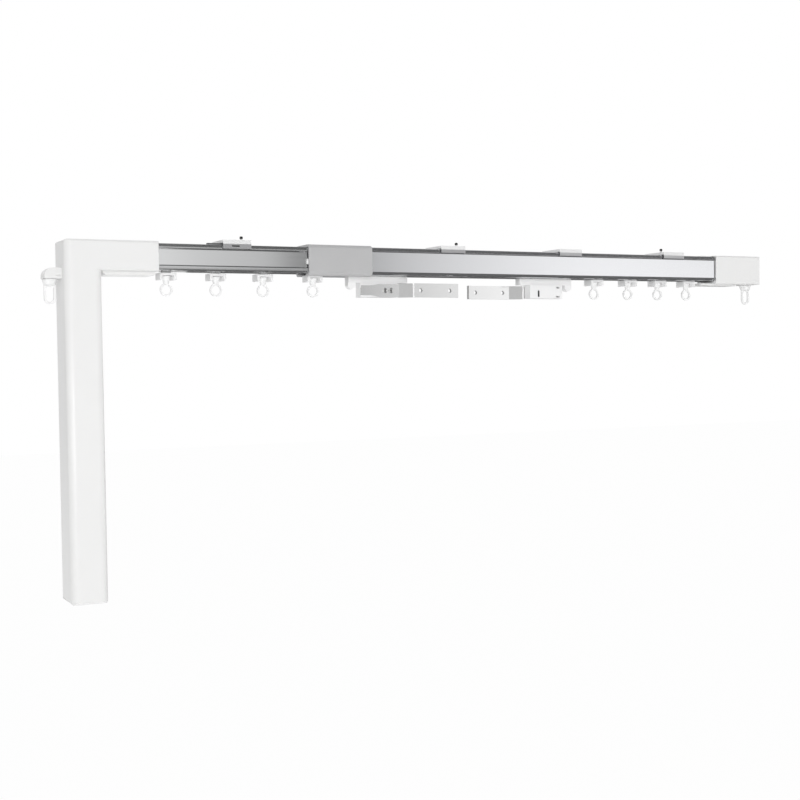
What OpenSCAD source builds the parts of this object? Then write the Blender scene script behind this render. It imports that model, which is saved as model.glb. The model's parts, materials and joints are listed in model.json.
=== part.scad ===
// Electric curtain track: a telescopic ceiling rail with a corner drive, two belt-driven
// lead carriers, wheeled runners with swivelling rings, and clips that hold it up.
// Millimetres. X runs along the rail, -Y faces the room and +Z is up.
// The origin is the screw hole of the first clip on the outer rail, on the ceiling plane.

/* [Rails] */
// Width of the inner rail
inner_w = 30; // [28:0.5:34]
// Height of the inner rail
inner_h = 25.9; // [25:0.1:29]
// Wall of the inner rail
inner_wall = 1.3; // [1:0.1:1.6]
// Depth of the long recess on the inner rail's sides
web_recess = 1.5; // [0.8:0.1:2]
// Height of the raised strips above and below that recess
strip_h = 5.4; // [4.6:0.1:6.4]
// How far those strips lean in towards the rail's top and bottom
strip_lean = 0.4; // [0.2:0.05:0.6]
// Corner radius of the inner rail
inner_r = 2.2; // [1.6:0.1:2.4]
// Running gap between the two rails
slide_gap = 0.3; // [0.2:0.05:0.45]
// Wall of the outer rail
outer_wall = 1; // [0.9:0.1:1.5]
// Width of the slot in the inner rail's floor
slot_w = 9; // [8.6:0.1:10]
// How much wider the slot is in the outer rail and the sleeve
slot_step = 0.6; // [0.4:0.1:1]
// Inner rail that shows between the drive and the sleeve
inner_show = 154.5; // [140:0.5:200]
// Outer rail that shows between the sleeve and the end cap
outer_show = 447; // [440:1:520]
// Inner rail that reaches past the sleeve's mouth into the outer rail
rail_overlap = 148; // [140:1:160]
// Inner rail that stands inside the drive box
rail_in_box = 50; // [40:1:54]
// Outer rail that stands inside the end cap
rail_in_cap = 21; // [14:1:23]
// Depth of the groove near the rails' top edges that the clips hook into
groove_d = 0.4; // [0.3:0.05:0.5]
// Height of that groove
groove_h = 1; // [0.8:0.1:1.4]
// Distance from a rail's top down to that groove
groove_drop = 3.1; // [2.8:0.1:3.4]

/* [Sleeve] */
// Length of the joint sleeve
sleeve_len = 70; // [60:1:80]
// Wall of the joint sleeve
sleeve_wall = 1.25; // [1:0.05:1.8]
// Length of the sleeve's mouth ahead of the outer rail
sleeve_mouth = 13; // [8:1:20]

/* [Drive] */
// Length of the drive box from the rail's mouth to its far side
box_len = 88.5; // [86:0.5:96]
// Width of the motor tube along the rail
tube_w = 34.5; // [32:0.5:36]
// Depth of the casing
case_d = 42.8; // [41:0.2:48]
// Height of the drive from the top of the box to the foot of the motor tube
case_h = 337.5; // [320:0.5:380]
// Wall of the casing
case_wall = 1.8; // [1.4:0.1:2]
// Wall of the box above and below the rail
box_wall = 1.25; // [1:0.05:1.8]
// Radius of the motor tube's two corners at the front
case_front_r = 7; // [5:0.5:9]
// Radius of the motor tube's two corners at the back
case_r = 4.5; // [3.5:0.5:5]
// Edge radius of the casing's other edges
case_edge = 3; // [2:0.5:4]
// Thickness of the rear cover
cover_t = 2; // [1.6:0.1:2.6]
// Thickness of the bottom cap
foot_t = 2.4; // [2:0.1:3.5]
// Length of the gearbox
gearbox_len = 40; // [30:1:50]
// Length of the motor
motor_len = 144; // [120:1:150]
// Radius of the output shaft
shaft_r = 2.5; // [2:0.1:3]
// Gap between the motor and the circuit board below it
board_gap = 17.5; // [16:0.5:24]
// Gap between the motor tube and the slot cover under the box
slot_cover_gap = 0.5; // [0.4:0.1:4]
// Thickness of the slot cover
slot_cover_t = 3.6; // [2.5:0.1:3.6]
// Radius of the set button
button_r = 3.5; // [3:0.1:4.5]
// How far the set button goes in
button_travel = 1.2; // [0.8:0.1:1.6]

/* [Belt] */
// Radius of the pulleys under the belt
pulley_r = 7.7; // [7:0.1:8]
// Thickness of the belt
belt_t = 1.4; // [1.2:0.1:1.6]
// Height of the belt
belt_h = 6; // [5:0.5:6.5]
// Height of the belt's lower edge above the middle of the rail
belt_z = 1; // [0.8:0.1:1.5]
// Gap between the belt and the pulleys
belt_gap = 0.3; // [0.2:0.05:0.4]
// Radius of the idler's axle
axle_r = 2; // [1.6:0.1:2.5]

/* [End cap] */
// Length of the end cap
cap_len = 66; // [62:1:80]
// How far the end cap stands proud of the rail's front and back
cap_proud = 1.5; // [1:0.1:2.5]
// Depth of the lid below the outer rail
lid_drop = 3.8; // [3:0.1:4.2]
// Length of the tongues along the rail
tongue_len = 17; // [12:1:20]
// Distance from the end cap's mouth to the idler's axle
idler_in = 36; // [34:0.5:38]
// Distance from the end cap's far side to the end loop
loop_in = 7.3; // [7.2:0.1:10]

/* [Lead carriers] */
// Distance from the sleeve to the middle of the left carrier
left_carrier_in = 12.5; // [8:0.5:20]
// Distance from the end cap to the middle of the right carrier
right_carrier_in = 229; // [220:1:240]
// Length of a carrier's top bar
bar_len = 68; // [64:1:72]
// Depth of a carrier's top bar
bar_d = 10; // [9:0.5:12]
// Height of a carrier's top bar
bar_h = 6.9; // [5.5:0.1:8]
// Length of a carrier's body
body_len = 42.5; // [40:0.5:46]
// Depth of a carrier's body
body_d = 12; // [11:0.5:14]
// Height of a carrier's body below its bar
body_h = 14.7; // [13:0.1:16]
// Distance between a carrier's axles
axle_base = 48; // [44:1:52]
// Thickness of the bent arm
arm_t = 1.5; // [1.2:0.1:2]
// Height of the bent arm
arm_h = 14.5; // [13:0.5:15]
// Height of the arm's foot where it is screwed on
foot_h = 13; // [11:0.1:13.4]
// Reach of the arm from the carrier's middle
arm_reach = 88; // [84:1:96]
// Sideways step of the arm
arm_step = 9; // [7:0.5:11]
// Length along the rail of the arm's slanted stretch
arm_run = 12.5; // [10:0.5:15]
// Radius of the holes in the arm
arm_hole_r = 2.1; // [1.6:0.1:2.6]
// Distance between the holes in the arm
arm_hole_pitch = 34.5; // [30:0.5:40]

/* [Runners] */
// Distances of the left runners from the drive box
left_runners = [12.5, 62.5, 111.5, 165.3];
// Distances of the right runners from the end cap
right_runners = [161.8, 115, 72.8, 31.2];
// Length of a runner along the rail
runner_len = 16.6; // [15.6:0.2:17]
// Depth of a runner
runner_d = 15.4; // [13:0.2:16]
// Height of a runner's side blocks
runner_h = 6.8; // [5:0.1:7.2]
// Gap between the outer rail and what hangs under it
hang_gap = 0.35; // [0.3:0.05:1]
// Radius of the wheels
wheel_r = 3.6; // [3:0.1:4]
// Width of a wheel
wheel_w = 3.9; // [3:0.1:4.2]
// Radius of the wheels' axle
wheel_axle_r = 1.1; // [0.9:0.1:1.3]
// Gap between a wheel and the floor that it runs on
wheel_gap = 0.2; // [0.1:0.05:0.3]
// Radius of the hole in a ring
ring_ri = 4.5; // [4:0.1:5]
// Width of a ring's rim
ring_rim = 1.7; // [1.4:0.1:2.2]
// Thickness of a ring
ring_t = 2.4; // [2:0.1:3]
// Drop from a runner's side blocks to the middle of its ring
ring_drop = 9.1; // [7.8:0.1:10]

/* [Ceiling clips] */
// Distance of the inner rail's clip from the drive box
inner_clip_in = 79.5; // [72:0.5:84]
// Distances of the outer rail's clips from the sleeve
outer_clips = [94.6, 242.8, 385];
// Width of a clip along the rail
clip_w = 29; // [26:0.5:32]
// Thickness of a clip's plate
clip_t = 2.8; // [2.4:0.1:3.2]
// Thickness of a clip's jaws
jaw_t = 1.5; // [1.2:0.1:2]
// Gap between a clip's plate and the outer rail
clip_gap = 0.6; // [0.4:0.1:1]
// Radius of the screw hole in a clip
clip_hole_r = 2.25; // [2:0.05:2.6]
// Length of the locking lever from its pin
lever_len = 20; // [16:0.5:22]
// Width of the locking lever
lever_w = 7; // [6:0.5:8]

/* [End loops] */
// Width of an end loop
loop_w = 10.8; // [9:0.2:12]
// Length of an end loop below its collar
loop_len = 17.6; // [15:0.2:20]
// Rim of an end loop
loop_rim = 2; // [1.3:0.1:2.4]
// Radius of an end loop's collar
collar_r = 7.1; // [6:0.1:7.2]
// Height of an end loop's collar
collar_h = 5.2; // [4:0.1:6]
// How far the left end arm reaches from the casing
end_arm_len = 16; // [15:0.1:20]
// Distance from that arm's tip to the axis of its loop
end_loop_in = 6.3; // [6:0.1:8]
// Height of the left end arm
end_arm_h = 10.2; // [9:0.1:12]
// Depth of the left end arm
end_arm_d = 18; // [16:0.5:20]
// Depth of the left end arm's top below the middle of the rail
end_arm_z = 11.4; // [10:0.1:14]

/* [Fits] */
// Gap between pieces that are fitted together
fit_gap = 0.1; // [0.05:0.05:0.15]
// Radial gap of pins that turn in their holes
pin_gap = 0.05; // [0.02:0.01:0.08]
// Clear gap between pieces that pass each other
free_gap = 0.4; // [0.3:0.05:0.6]

/* [Hidden] */
$fn = 48;
eps = 0.01;
far = 1000;

// Cross-sections of the rails and the sleeve
web_half_w = inner_w / 2 - web_recess;
cavity_half_w = web_half_w - inner_wall;
outer_cavity_w = inner_w + 2 * slide_gap;
outer_cavity_h = inner_h + 2 * slide_gap;
outer_w = outer_cavity_w + 2 * outer_wall;
outer_h = outer_cavity_h + 2 * outer_wall;
outer_cavity_r = inner_r + slide_gap / 2;
outer_slot_w = slot_w + slot_step;
sleeve_slot_w = max(runner_d, bar_d, body_d) + 2 * free_gap;
sleeve_w = outer_w + 2 * (fit_gap + sleeve_wall);
sleeve_h = outer_h + 2 * (fit_gap + sleeve_wall);
sleeve_r = outer_cavity_r + outer_wall + sleeve_wall;
inner_floor = -inner_h / 2 + inner_wall;
outer_floor = -outer_cavity_h / 2;

// Places along the rail, from the drive box's mouth
sleeve_x = inner_show;
sleeve_end = sleeve_x + sleeve_len;
cap_x = sleeve_end + outer_show;
cap_end = cap_x + cap_len;
drive_x = -box_len + tube_w / 2;
idler_x = cap_x + idler_in;
left_carrier_x = sleeve_end + left_carrier_in;
right_carrier_x = cap_x - right_carrier_in;
inner_clip_x = inner_clip_in;
outer_clip_x = [for (d = outer_clips) sleeve_end + d];
runner_x = concat(left_runners, [for (d = right_runners) cap_x - d]);
left_count = len(left_runners);
runner_count = len(runner_x);

// Height of the ceiling above the middle of the rail
ceiling_z = outer_h / 2 + clip_gap + clip_t;

// Casing
box_h = inner_h + 2 * (fit_gap + box_wall);
case_top = box_h / 2;
case_foot = case_top - case_h;
foot_top = case_foot + foot_t;
split_y = case_d / 2 - cover_t;
floor_t = box_wall + 1.5;
shelf_z = -case_top - floor_t + box_wall;
end_wall = 2;
motor_r = tube_w / 2 - case_wall - 0.25;
gearbox_z = shelf_z - gearbox_len;
motor_z = gearbox_z - motor_len;
motor_boss_h = 5;
board_t = 1.6;
board_z = foot_top + 10;
board_h = motor_z - motor_boss_h - board_gap - board_z;
pulley_z = belt_z - 1.8;
pulley_h = belt_h + 3.6;
flange_r = pulley_r + belt_gap + belt_t + 0.5;
shaft_sink = 14;

// Screws of the rear cover: places in X and Z, and the side where each boss grows out of a wall
boss_w = 6;
boss_root = min(case_wall, box_wall) / 2;
boss_h = 7;
boss_drop = 12;
screw_r = 1.4;
screw_head_r = 2.6;
screw_head_h = 1.3;
screw_len = min(5, split_y - inner_w / 2 - fit_gap - 0.6);
boss_dx = tube_w / 2 - case_wall - boss_w / 2;
cover_screw_places = [
    [drive_x - boss_dx, shelf_z - boss_drop, [-1, 0]],
    [drive_x + boss_dx, shelf_z - boss_drop, [1, 0]],
    [drive_x - boss_dx, board_z + board_h + boss_h, [-1, 0]],
    [drive_x + boss_dx, board_z + board_h + boss_h, [1, 0]],
    [-end_wall - boss_w, case_top - box_wall - boss_h / 2, [0, 1]],
    [-end_wall - boss_w, -case_top + box_wall + boss_h / 2, [0, -1]]
];

// Inlet and button in the bottom cap
inlet_w = 15;
inlet_d = 10;
inlet_h = 12;
inlet_y = -6;
socket_w = 11;
socket_d = 6;
socket_h = 9;
button_y = 10;
button_h = foot_t + 4;
button_flange = 1.2;

// What hangs under the rail
hang_top = -outer_h / 2 - hang_gap;
plate_t = 2.4;
block_t = 2.8;
neck_len = 8;
neck_d = 7.2;
head_over = 2.4;
wheel_in = neck_d / 2 + free_gap;
block_foot = hang_top - runner_h;
ring_z = block_foot - ring_drop;
ring_ro = ring_ri + ring_rim;
cone_r = 4.2;
cone_foot_r = 2.4;
body_foot = hang_top - bar_h - body_h;
belt_in = pulley_r + belt_gap;
clamp_len = 20;
clamp_gap = 0.6;
clamp_wall = 1;
arm_z = hang_top - bar_h - body_h / 2 - 0.4;
arm_bend = arm_t * tan(atan2(arm_step, arm_run) / 2);
arm_start = body_len / 2 + 1.2;
arm_lip = 2.5;
arm_hole_x = arm_reach - 10 - arm_hole_pitch;
arm_screw_x = 5.8;
arm_screw_pitch = 6.8;
arm_screw_r = 1.5;
arm_screw_head_r = 2.8;
arm_screw_head_h = 1.5;
arm_screw_len = 5;

// Seam between the two layers of the left end arm
arm_seam_h = 0.6;
arm_seam_d = 0.8;

// Swivel stems
stem_r = 1.5;
stem_head_r = 2.2;
stem_head_h = 1.4;
swivel_gap = 0.3;

// Ceiling clips
lever_gap = 0.2;
lever_pin_r = 2;
lever_pin_x = -8.5;
lever_pin_y = -7;
jaw_hook = groove_d - 0.1;
hook_h = groove_h - 0.2;

// Moves a piece drawn about the middle of the rail to the ceiling datum
module on_rail() {
    translate([-outer_clip_x[0], 0, -ceiling_z]) children();
}

// Rectangle with round corners, centred
module rounded_rect(w, h, r) {
    square([w - 2 * r, h], center = true);
    square([w, h - 2 * r], center = true);
    for (x = [-1, 1])
        for (y = [-1, 1])
            translate([x * (w / 2 - r), y * (h / 2 - r)]) circle(r);
}

// Box between two corners
module block(low, high) {
    translate(low) cube(high - low);
}

// Extrudes a YZ outline along X
module along_x(x0, x1) {
    translate([x0, 0, 0]) rotate([90, 0, 90]) linear_extrude(x1 - x0) children();
}

// Extrudes an XZ outline along Y
module along_y(y0, y1) {
    translate([0, y1, 0]) rotate([90, 0, 0]) linear_extrude(y1 - y0) children();
}

// Cylinder along Y between two places
module rod_y(x, z, r, y0, y1) {
    translate([x, y1, z]) rotate([90, 0, 0]) cylinder(r = r, h = y1 - y0);
}

// Stem of a swivel, from its shoulder up
module swivel_stem(shoulder_z, rise) {
    translate([0, 0, shoulder_z]) cylinder(r = stem_r, h = rise + eps);
    translate([0, 0, shoulder_z + rise]) cylinder(r = stem_head_r, h = stem_head_h);
}

// Room for that stem in the piece that holds it
module swivel_seat(shoulder_z, rise) {
    translate([0, 0, shoulder_z - eps]) cylinder(r = stem_r + pin_gap, h = rise + eps);
    translate([0, 0, shoulder_z + rise - swivel_gap])
        cylinder(r = stem_head_r + swivel_gap, h = stem_head_h + 2 * swivel_gap);
}

// Two grooves near a rail's top edges for the clips' hooks
module clip_grooves(w, h) {
    for (side = [-1, 1])
        translate([side * w / 2, h / 2 - groove_drop - groove_h / 2])
            square([2 * groove_d, groove_h], center = true);
}

module inner_profile() {
    strip_in = strip_h - inner_wall;
    difference() {
        rounded_rect(inner_w, inner_h, inner_r);
        for (side = [-1, 1])
            translate([side * inner_w / 2, 0])
                square([2 * web_recess, inner_h - 2 * strip_h], center = true);
        square([2 * cavity_half_w, inner_h - 2 * inner_wall], center = true);
        for (side = [-1, 1])
            translate([0, side * (inner_h / 2 - inner_wall - (strip_in - inner_wall) / 2)])
                square([inner_w - 2 * inner_wall, strip_in - inner_wall], center = true);
        translate([-slot_w / 2, -inner_h])
            square([slot_w, inner_h]);
        clip_grooves(inner_w, inner_h);
        for (side = [-1, 1])
            for (up = [-1, 1])
                polygon([
                    [side * inner_w / 2, up * (inner_h / 2 - groove_drop)],
                    [side * inner_w, up * (inner_h / 2 - groove_drop)],
                    [side * inner_w, up * (inner_h / 2 + groove_drop)],
                    [side * (inner_w / 2 - 2 * strip_lean), up * (inner_h / 2 + groove_drop)]
                ]);
    }
}

module outer_profile() {
    difference() {
        rounded_rect(outer_w, outer_h, outer_cavity_r + outer_wall);
        rounded_rect(outer_cavity_w, outer_cavity_h, outer_cavity_r);
        translate([-outer_slot_w / 2, -outer_h])
            square([outer_slot_w, outer_h]);
        clip_grooves(outer_w, outer_h);
    }
}

module inner_rail() {
    color("silver") on_rail()
        along_x(-rail_in_box, sleeve_x + rail_overlap) inner_profile();
}

module outer_rail() {
    color("gainsboro") on_rail()
        along_x(sleeve_x + sleeve_mouth, cap_x + rail_in_cap) outer_profile();
}

module joint_sleeve() {
    color("darkgray") on_rail() difference() {
        along_x(sleeve_x, sleeve_end)
            rounded_rect(sleeve_w, sleeve_h, sleeve_r);
        along_x(sleeve_x + sleeve_mouth, sleeve_end + eps)
            rounded_rect(outer_w + 2 * fit_gap, outer_h + 2 * fit_gap, outer_cavity_r + outer_wall);
        along_x(sleeve_x - eps, sleeve_end)
            rounded_rect(outer_cavity_w, outer_cavity_h, outer_cavity_r);
        block([sleeve_x - eps, -sleeve_slot_w / 2, -sleeve_h], [sleeve_end + eps, sleeve_slot_w / 2, 0]);
    }
}

// Motor tube seen from above, taken in by a wall: round corners at the front, tighter ones behind
module tube_plan(wall) {
    w = tube_w - 2 * wall;
    d = case_d - 2 * wall;
    intersection() {
        rounded_rect(w, d, case_front_r - wall);
        translate([-w, -d]) square([2 * w, d + eps]);
    }
    intersection() {
        rounded_rect(w, d, case_r - wall);
        translate([-w, 0]) square([2 * w, d]);
    }
}

// Outer form of the whole casing: the box over the rail's end and the motor tube
module case_form() {
    intersection() {
        translate([drive_x, 0, case_foot]) linear_extrude(case_h) tube_plan(0);
        along_x(-box_len, 0)
            translate([0, case_foot + case_h / 2]) rounded_rect(case_d, case_h, case_edge);
        along_y(-case_d, case_d)
            translate([drive_x, case_foot + case_h / 2]) rounded_rect(tube_w, case_h, case_edge);
    }
    intersection() {
        along_x(drive_x, 0) rounded_rect(case_d, box_h, case_edge);
        translate([drive_x / 2, 0, -box_h / 2])
            linear_extrude(box_h) rounded_rect(-drive_x, case_d, case_edge / 2);
    }
}

module case_bosses() {
    for (p = cover_screw_places)
        for (root = [0, boss_root])
            translate([p[0] - boss_w / 2 + root * p[2][0], split_y - screw_len - 1,
                       p[1] - boss_h / 2 + root * p[2][1]])
                cube([boss_w, screw_len + 1, boss_h]);
}

module cover_screw_holes(gap) {
    for (p = cover_screw_places) {
        rod_y(p[0], p[1], screw_r + gap, split_y - screw_len, case_d);
        rod_y(p[0], p[1], screw_head_r + gap, case_d / 2 - screw_head_h, case_d);
    }
}

// Room inside the motor tube between two heights, open to the back
module tube_room(z0, z1) {
    translate([drive_x, 0, z0]) linear_extrude(z1 - z0) tube_plan(case_wall);
    block([drive_x - tube_w / 2 + case_wall, 0, z0], [drive_x + tube_w / 2 - case_wall, far, z1]);
}

module drive_housing() {
    front_y = -case_d / 2 + case_wall;
    box_in = case_top - box_wall;
    rail_w = inner_w + 2 * fit_gap;
    rail_h = inner_h + 2 * fit_gap;
    color("whitesmoke") on_rail() difference() {
        union() {
            difference() {
                case_form();
                tube_room(foot_top - eps, shelf_z);
                tube_room(-box_in, box_in);
                block([drive_x, front_y, -box_in], [-end_wall, far, box_in]);
            }
            intersection() {
                case_form();
                case_bosses();
            }
        }
        block([-far, split_y, -far], [far, far, far]);
        block([-far, -far, -far], [far, far, foot_top]);
        translate([drive_x, 0, shelf_z - eps]) cylinder(r = 2 * shaft_r, h = 2 * floor_t);
        block([-rail_in_box, -rail_w / 2, -rail_h / 2], [eps, rail_w / 2, rail_h / 2]);
        cover_screw_holes(pin_gap);
    }
}

module rear_cover() {
    color("whitesmoke") on_rail() difference() {
        case_form();
        block([-far, -far, -far], [far, split_y, far]);
        block([-far, -far, -far], [far, far, foot_top]);
        cover_screw_holes(pin_gap);
    }
}

module cover_screws() {
    color("dimgray") on_rail()
        for (p = cover_screw_places)
            difference() {
                union() {
                    rod_y(p[0], p[1], screw_r, split_y - screw_len + 0.3, case_d / 2 - eps);
                    rod_y(p[0], p[1], screw_head_r, case_d / 2 - screw_head_h, case_d / 2 - eps);
                }
                for (turn = [0, 90])
                    translate([p[0], case_d / 2, p[1]]) rotate([0, turn, 0])
                        cube([3.2, 1.4, 0.7], center = true);
            }
}

// Lip under the box that closes the rail's slot and stops the first runner
module slot_cover() {
    x0 = -box_len + tube_w + slot_cover_gap;
    x1 = -end_wall - 1;
    half = inner_w / 2 + 0.4;
    color("whitesmoke") on_rail()
        along_y(-half, half)
            polygon([
                [x0, -case_top],
                [x1, -case_top],
                [x1, -case_top - slot_cover_t],
                [x0 + slot_cover_t, -case_top - slot_cover_t]
            ]);
}

module bottom_cap() {
    spigot = 4;
    gap = case_wall + fit_gap;
    color("whitesmoke") on_rail() difference() {
        union() {
            difference() {
                case_form();
                block([-far, -far, foot_top], [far, far, far]);
            }
            intersection() {
                translate([drive_x, 0, foot_top - eps]) linear_extrude(spigot) tube_plan(gap);
                block([-far, -far, -far], [far, split_y - fit_gap, far]);
            }
        }
        block([drive_x - inlet_w / 2 - fit_gap, inlet_y - inlet_d / 2 - fit_gap, case_foot + 1],
              [drive_x + inlet_w / 2 + fit_gap, inlet_y + inlet_d / 2 + fit_gap, 0]);
        block([drive_x - socket_w / 2, inlet_y - socket_d / 2, case_foot - eps],
              [drive_x + socket_w / 2, inlet_y + socket_d / 2, 0]);
        translate([drive_x, button_y, case_foot - eps]) cylinder(r = button_r + 2 * pin_gap, h = far);
        translate([drive_x, button_y, foot_top])
            cylinder(r = button_r + button_flange + free_gap, h = far);
    }
}

module power_inlet() {
    color("dimgray") on_rail() difference() {
        block([drive_x - inlet_w / 2, inlet_y - inlet_d / 2, case_foot + 1],
              [drive_x + inlet_w / 2, inlet_y + inlet_d / 2, case_foot + 1 + inlet_h]);
        block([drive_x - socket_w / 2, inlet_y - socket_d / 2, case_foot],
              [drive_x + socket_w / 2, inlet_y + socket_d / 2, case_foot + socket_h]);
        translate([drive_x, inlet_y, case_foot + 1 + inlet_h - 0.6])
            cube([inlet_w - 3, 1.4, 1.4], center = true);
    }
}

// Push button in the foot of the motor tube, with a flange that keeps it in
module set_button() {
    color("gainsboro") on_rail() translate([drive_x, button_y, 0]) {
        translate([0, 0, case_foot - button_travel]) cylinder(r = button_r, h = button_h);
        translate([0, 0, foot_top]) cylinder(r = button_r + button_flange, h = 1.2);
    }
}

module motor_can() {
    color("slategray") on_rail() translate([drive_x, 0, 0]) {
        translate([0, 0, motor_z]) cylinder(r = motor_r, h = motor_len);
        translate([0, 0, motor_z - motor_boss_h]) cylinder(r = motor_r / 2, h = motor_boss_h + eps);
    }
}

module gearbox() {
    color("lightslategray") on_rail() translate([drive_x, 0, 0]) difference() {
        translate([0, 0, gearbox_z]) cylinder(r = motor_r, h = gearbox_len);
        for (k = [1 : 3])
            translate([0, 0, gearbox_z + k * gearbox_len / 4]) difference() {
                cylinder(r = motor_r + 1, h = 1.2);
                cylinder(r = motor_r - 0.8, h = 1.2);
            }
        translate([0, 0, shelf_z - shaft_sink]) cylinder(r = shaft_r + pin_gap, h = shaft_sink + eps);
    }
}

module output_shaft() {
    foot = shelf_z - shaft_sink + free_gap;
    color("silver") on_rail()
        translate([drive_x, 0, foot]) cylinder(r = shaft_r, h = pulley_z + pulley_h + 1 - foot);
}

// Pulley with a flange above and below the belt
module pulley(bore_r) {
    difference() {
        union() {
            translate([0, 0, pulley_z]) cylinder(r = pulley_r, h = pulley_h);
            for (z = [pulley_z, pulley_z + pulley_h - 1.3])
                translate([0, 0, z]) cylinder(r = flange_r, h = 1.3);
        }
        translate([0, 0, pulley_z - eps]) cylinder(r = bore_r, h = pulley_h + 2 * eps);
    }
}

module drive_pulley() {
    color("ivory") on_rail()
        translate([drive_x, 0, 0]) pulley(shaft_r + pin_gap / 2);
}

module circuit_board() {
    half = tube_w / 2 - case_wall - 0.2;
    chip_h = board_h / 7;
    color("seagreen") on_rail() {
        block([drive_x - half, -board_t / 2, board_z], [drive_x + half, board_t / 2, board_z + board_h]);
        for (z = [0.15, 0.4, 0.62])
            block([drive_x - half / 2, board_t / 2 - eps, board_z + z * board_h],
                  [drive_x + half / 2, board_t / 2 + half / 3, board_z + z * board_h + chip_h]);
        block([drive_x - 0.8 * half, -board_t / 2 - half / 5, board_z + board_h / 2],
              [drive_x - 0.2 * half, -board_t / 2 + eps, board_z + board_h / 2 + chip_h]);
    }
}

// Curved bracket on the casing's outer side that carries the left end loop
module left_end_arm() {
    round_r = 8;
    x0 = -box_len - end_arm_len;
    top = -end_arm_z;
    foot = top - end_arm_h;
    loop_x = x0 + end_loop_in;
    seam_z = foot + end_arm_h / 4;
    color("whitesmoke") on_rail() difference() {
        along_y(-end_arm_d / 2, end_arm_d / 2) {
            translate([x0 + round_r, foot])
                square([end_arm_len - round_r, end_arm_h]);
            translate([x0, foot])
                square([end_arm_len, end_arm_h - round_r]);
            translate([x0 + round_r, top - round_r])
                intersection() {
                    circle(round_r);
                    translate([-round_r, 0]) square([2 * round_r, round_r]);
                }
        }
        translate([loop_x, 0, 0]) swivel_seat(foot, 4);
        for (side = [-1, 1])
            block([loop_x + collar_r / 2, side * end_arm_d / 2 - arm_seam_d, seam_z],
                  [-box_len + eps, side * end_arm_d / 2 + arm_seam_d, seam_z + arm_seam_h]);
    }
}

// Collar with an elongated eye under it, drawn about its swivel axis
module end_loop(shoulder_z) {
    top = shoulder_z - swivel_gap;
    eye_w = loop_w - 2 * loop_rim;
    difference() {
        union() {
            swivel_stem(top, 4 + swivel_gap);
            translate([0, 0, top - collar_h])
                cylinder(r1 = loop_w / 2, r2 = collar_r, h = collar_h);
            along_y(-ring_t / 2, ring_t / 2) {
                translate([-loop_w / 2, top - collar_h - loop_len + loop_w / 2])
                    square([loop_w, loop_len - loop_w / 2 + eps]);
                translate([0, top - collar_h - loop_len + loop_w / 2]) circle(loop_w / 2);
            }
        }
        along_y(-collar_r, collar_r) {
            translate([-eye_w / 2, top - collar_h - loop_len + loop_w / 2])
                square([eye_w, loop_len - loop_w / 2 - loop_rim]);
            translate([0, top - collar_h - loop_len + loop_w / 2]) circle(eye_w / 2);
        }
    }
}

module left_end_loop() {
    color("white") on_rail()
        translate([-box_len - end_arm_len + end_loop_in, 0, 0])
            end_loop(-end_arm_z - end_arm_h);
}

lid_top = -outer_h / 2 + 1.2;
lid_foot = -outer_h / 2 - lid_drop;
cap_wall = 1.6;
cap_half_d = outer_w / 2 + fit_gap + cap_proud;
cap_top = outer_h / 2 + fit_gap + 0.8;
cap_r = 2;
boss_r = axle_r + 2;
pulley_play = 0.3;

module cap_form() {
    intersection() {
        translate([0, 0, 0]) along_x(cap_x, cap_end)
            translate([0, (cap_top + lid_foot) / 2])
                rounded_rect(2 * cap_half_d, cap_top - lid_foot, cap_r);
        translate([(cap_x + cap_end) / 2, 0, lid_foot])
            linear_extrude(cap_top - lid_foot) rounded_rect(cap_len, 2 * cap_half_d, cap_r / 2);
    }
}

module rail_socket() {
    along_x(cap_x - far, cap_x + rail_in_cap)
        rounded_rect(outer_w + 2 * fit_gap, outer_h + 2 * fit_gap, outer_cavity_r + outer_wall);
}

module end_cap() {
    in_y = cap_half_d - cap_wall;
    color("whitesmoke") on_rail() difference() {
        union() {
            difference() {
                cap_form();
                block([cap_x - far, -in_y, -far], [cap_end - cap_wall, in_y, cap_top - cap_wall]);
            }
            block([cap_x - tongue_len, -outer_w / 4, outer_h / 2 + fit_gap],
                  [cap_x + 2, outer_w / 4, cap_top]);
            translate([idler_x, 0, pulley_z + pulley_h + pulley_play])
                cylinder(r = boss_r, h = cap_top - cap_wall - pulley_z - pulley_h - pulley_play + eps);
        }
        block([-far, -far, -far], [far + cap_end, far, lid_top]);
        rail_socket();
        translate([idler_x, 0, 0]) cylinder(r = axle_r + pin_gap / 2, h = cap_top - 0.5);
    }
}

module end_cap_lid() {
    floor_z = lid_foot + 2.4;
    in_y = cap_half_d - cap_wall;
    color("whitesmoke") on_rail() difference() {
        union() {
            difference() {
                cap_form();
                block([cap_x - far, -far, lid_top], [far + cap_end, far, far]);
                block([cap_x + rail_in_cap, -in_y, floor_z], [cap_end - cap_wall, in_y, far]);
            }
            block([cap_x - tongue_len, -outer_w / 3, lid_foot - 1.6],
                  [idler_x, outer_w / 3, lid_foot + 1]);
            translate([idler_x, 0, floor_z - eps])
                cylinder(r = boss_r, h = pulley_z - pulley_play - floor_z + eps);
            translate([cap_end - loop_in, 0, floor_z - eps])
                cylinder(r = collar_r - 1, h = 6);
        }
        rail_socket();
        translate([idler_x, 0, floor_z]) cylinder(r = axle_r + pin_gap / 2, h = far);
        translate([cap_end - loop_in, 0, 0]) swivel_seat(lid_foot, 4);
    }
}

module idler_axle() {
    foot = lid_foot + 2.4;
    color("silver") on_rail()
        translate([idler_x, 0, foot]) cylinder(r = axle_r, h = cap_top - 0.7 - foot);
}

module idler_pulley() {
    color("ivory") on_rail()
        translate([idler_x, 0, 0]) pulley(axle_r + pin_gap);
}

module right_end_loop() {
    color("white") on_rail()
        translate([cap_end - loop_in, 0, 0]) end_loop(lid_foot);
}

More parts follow.
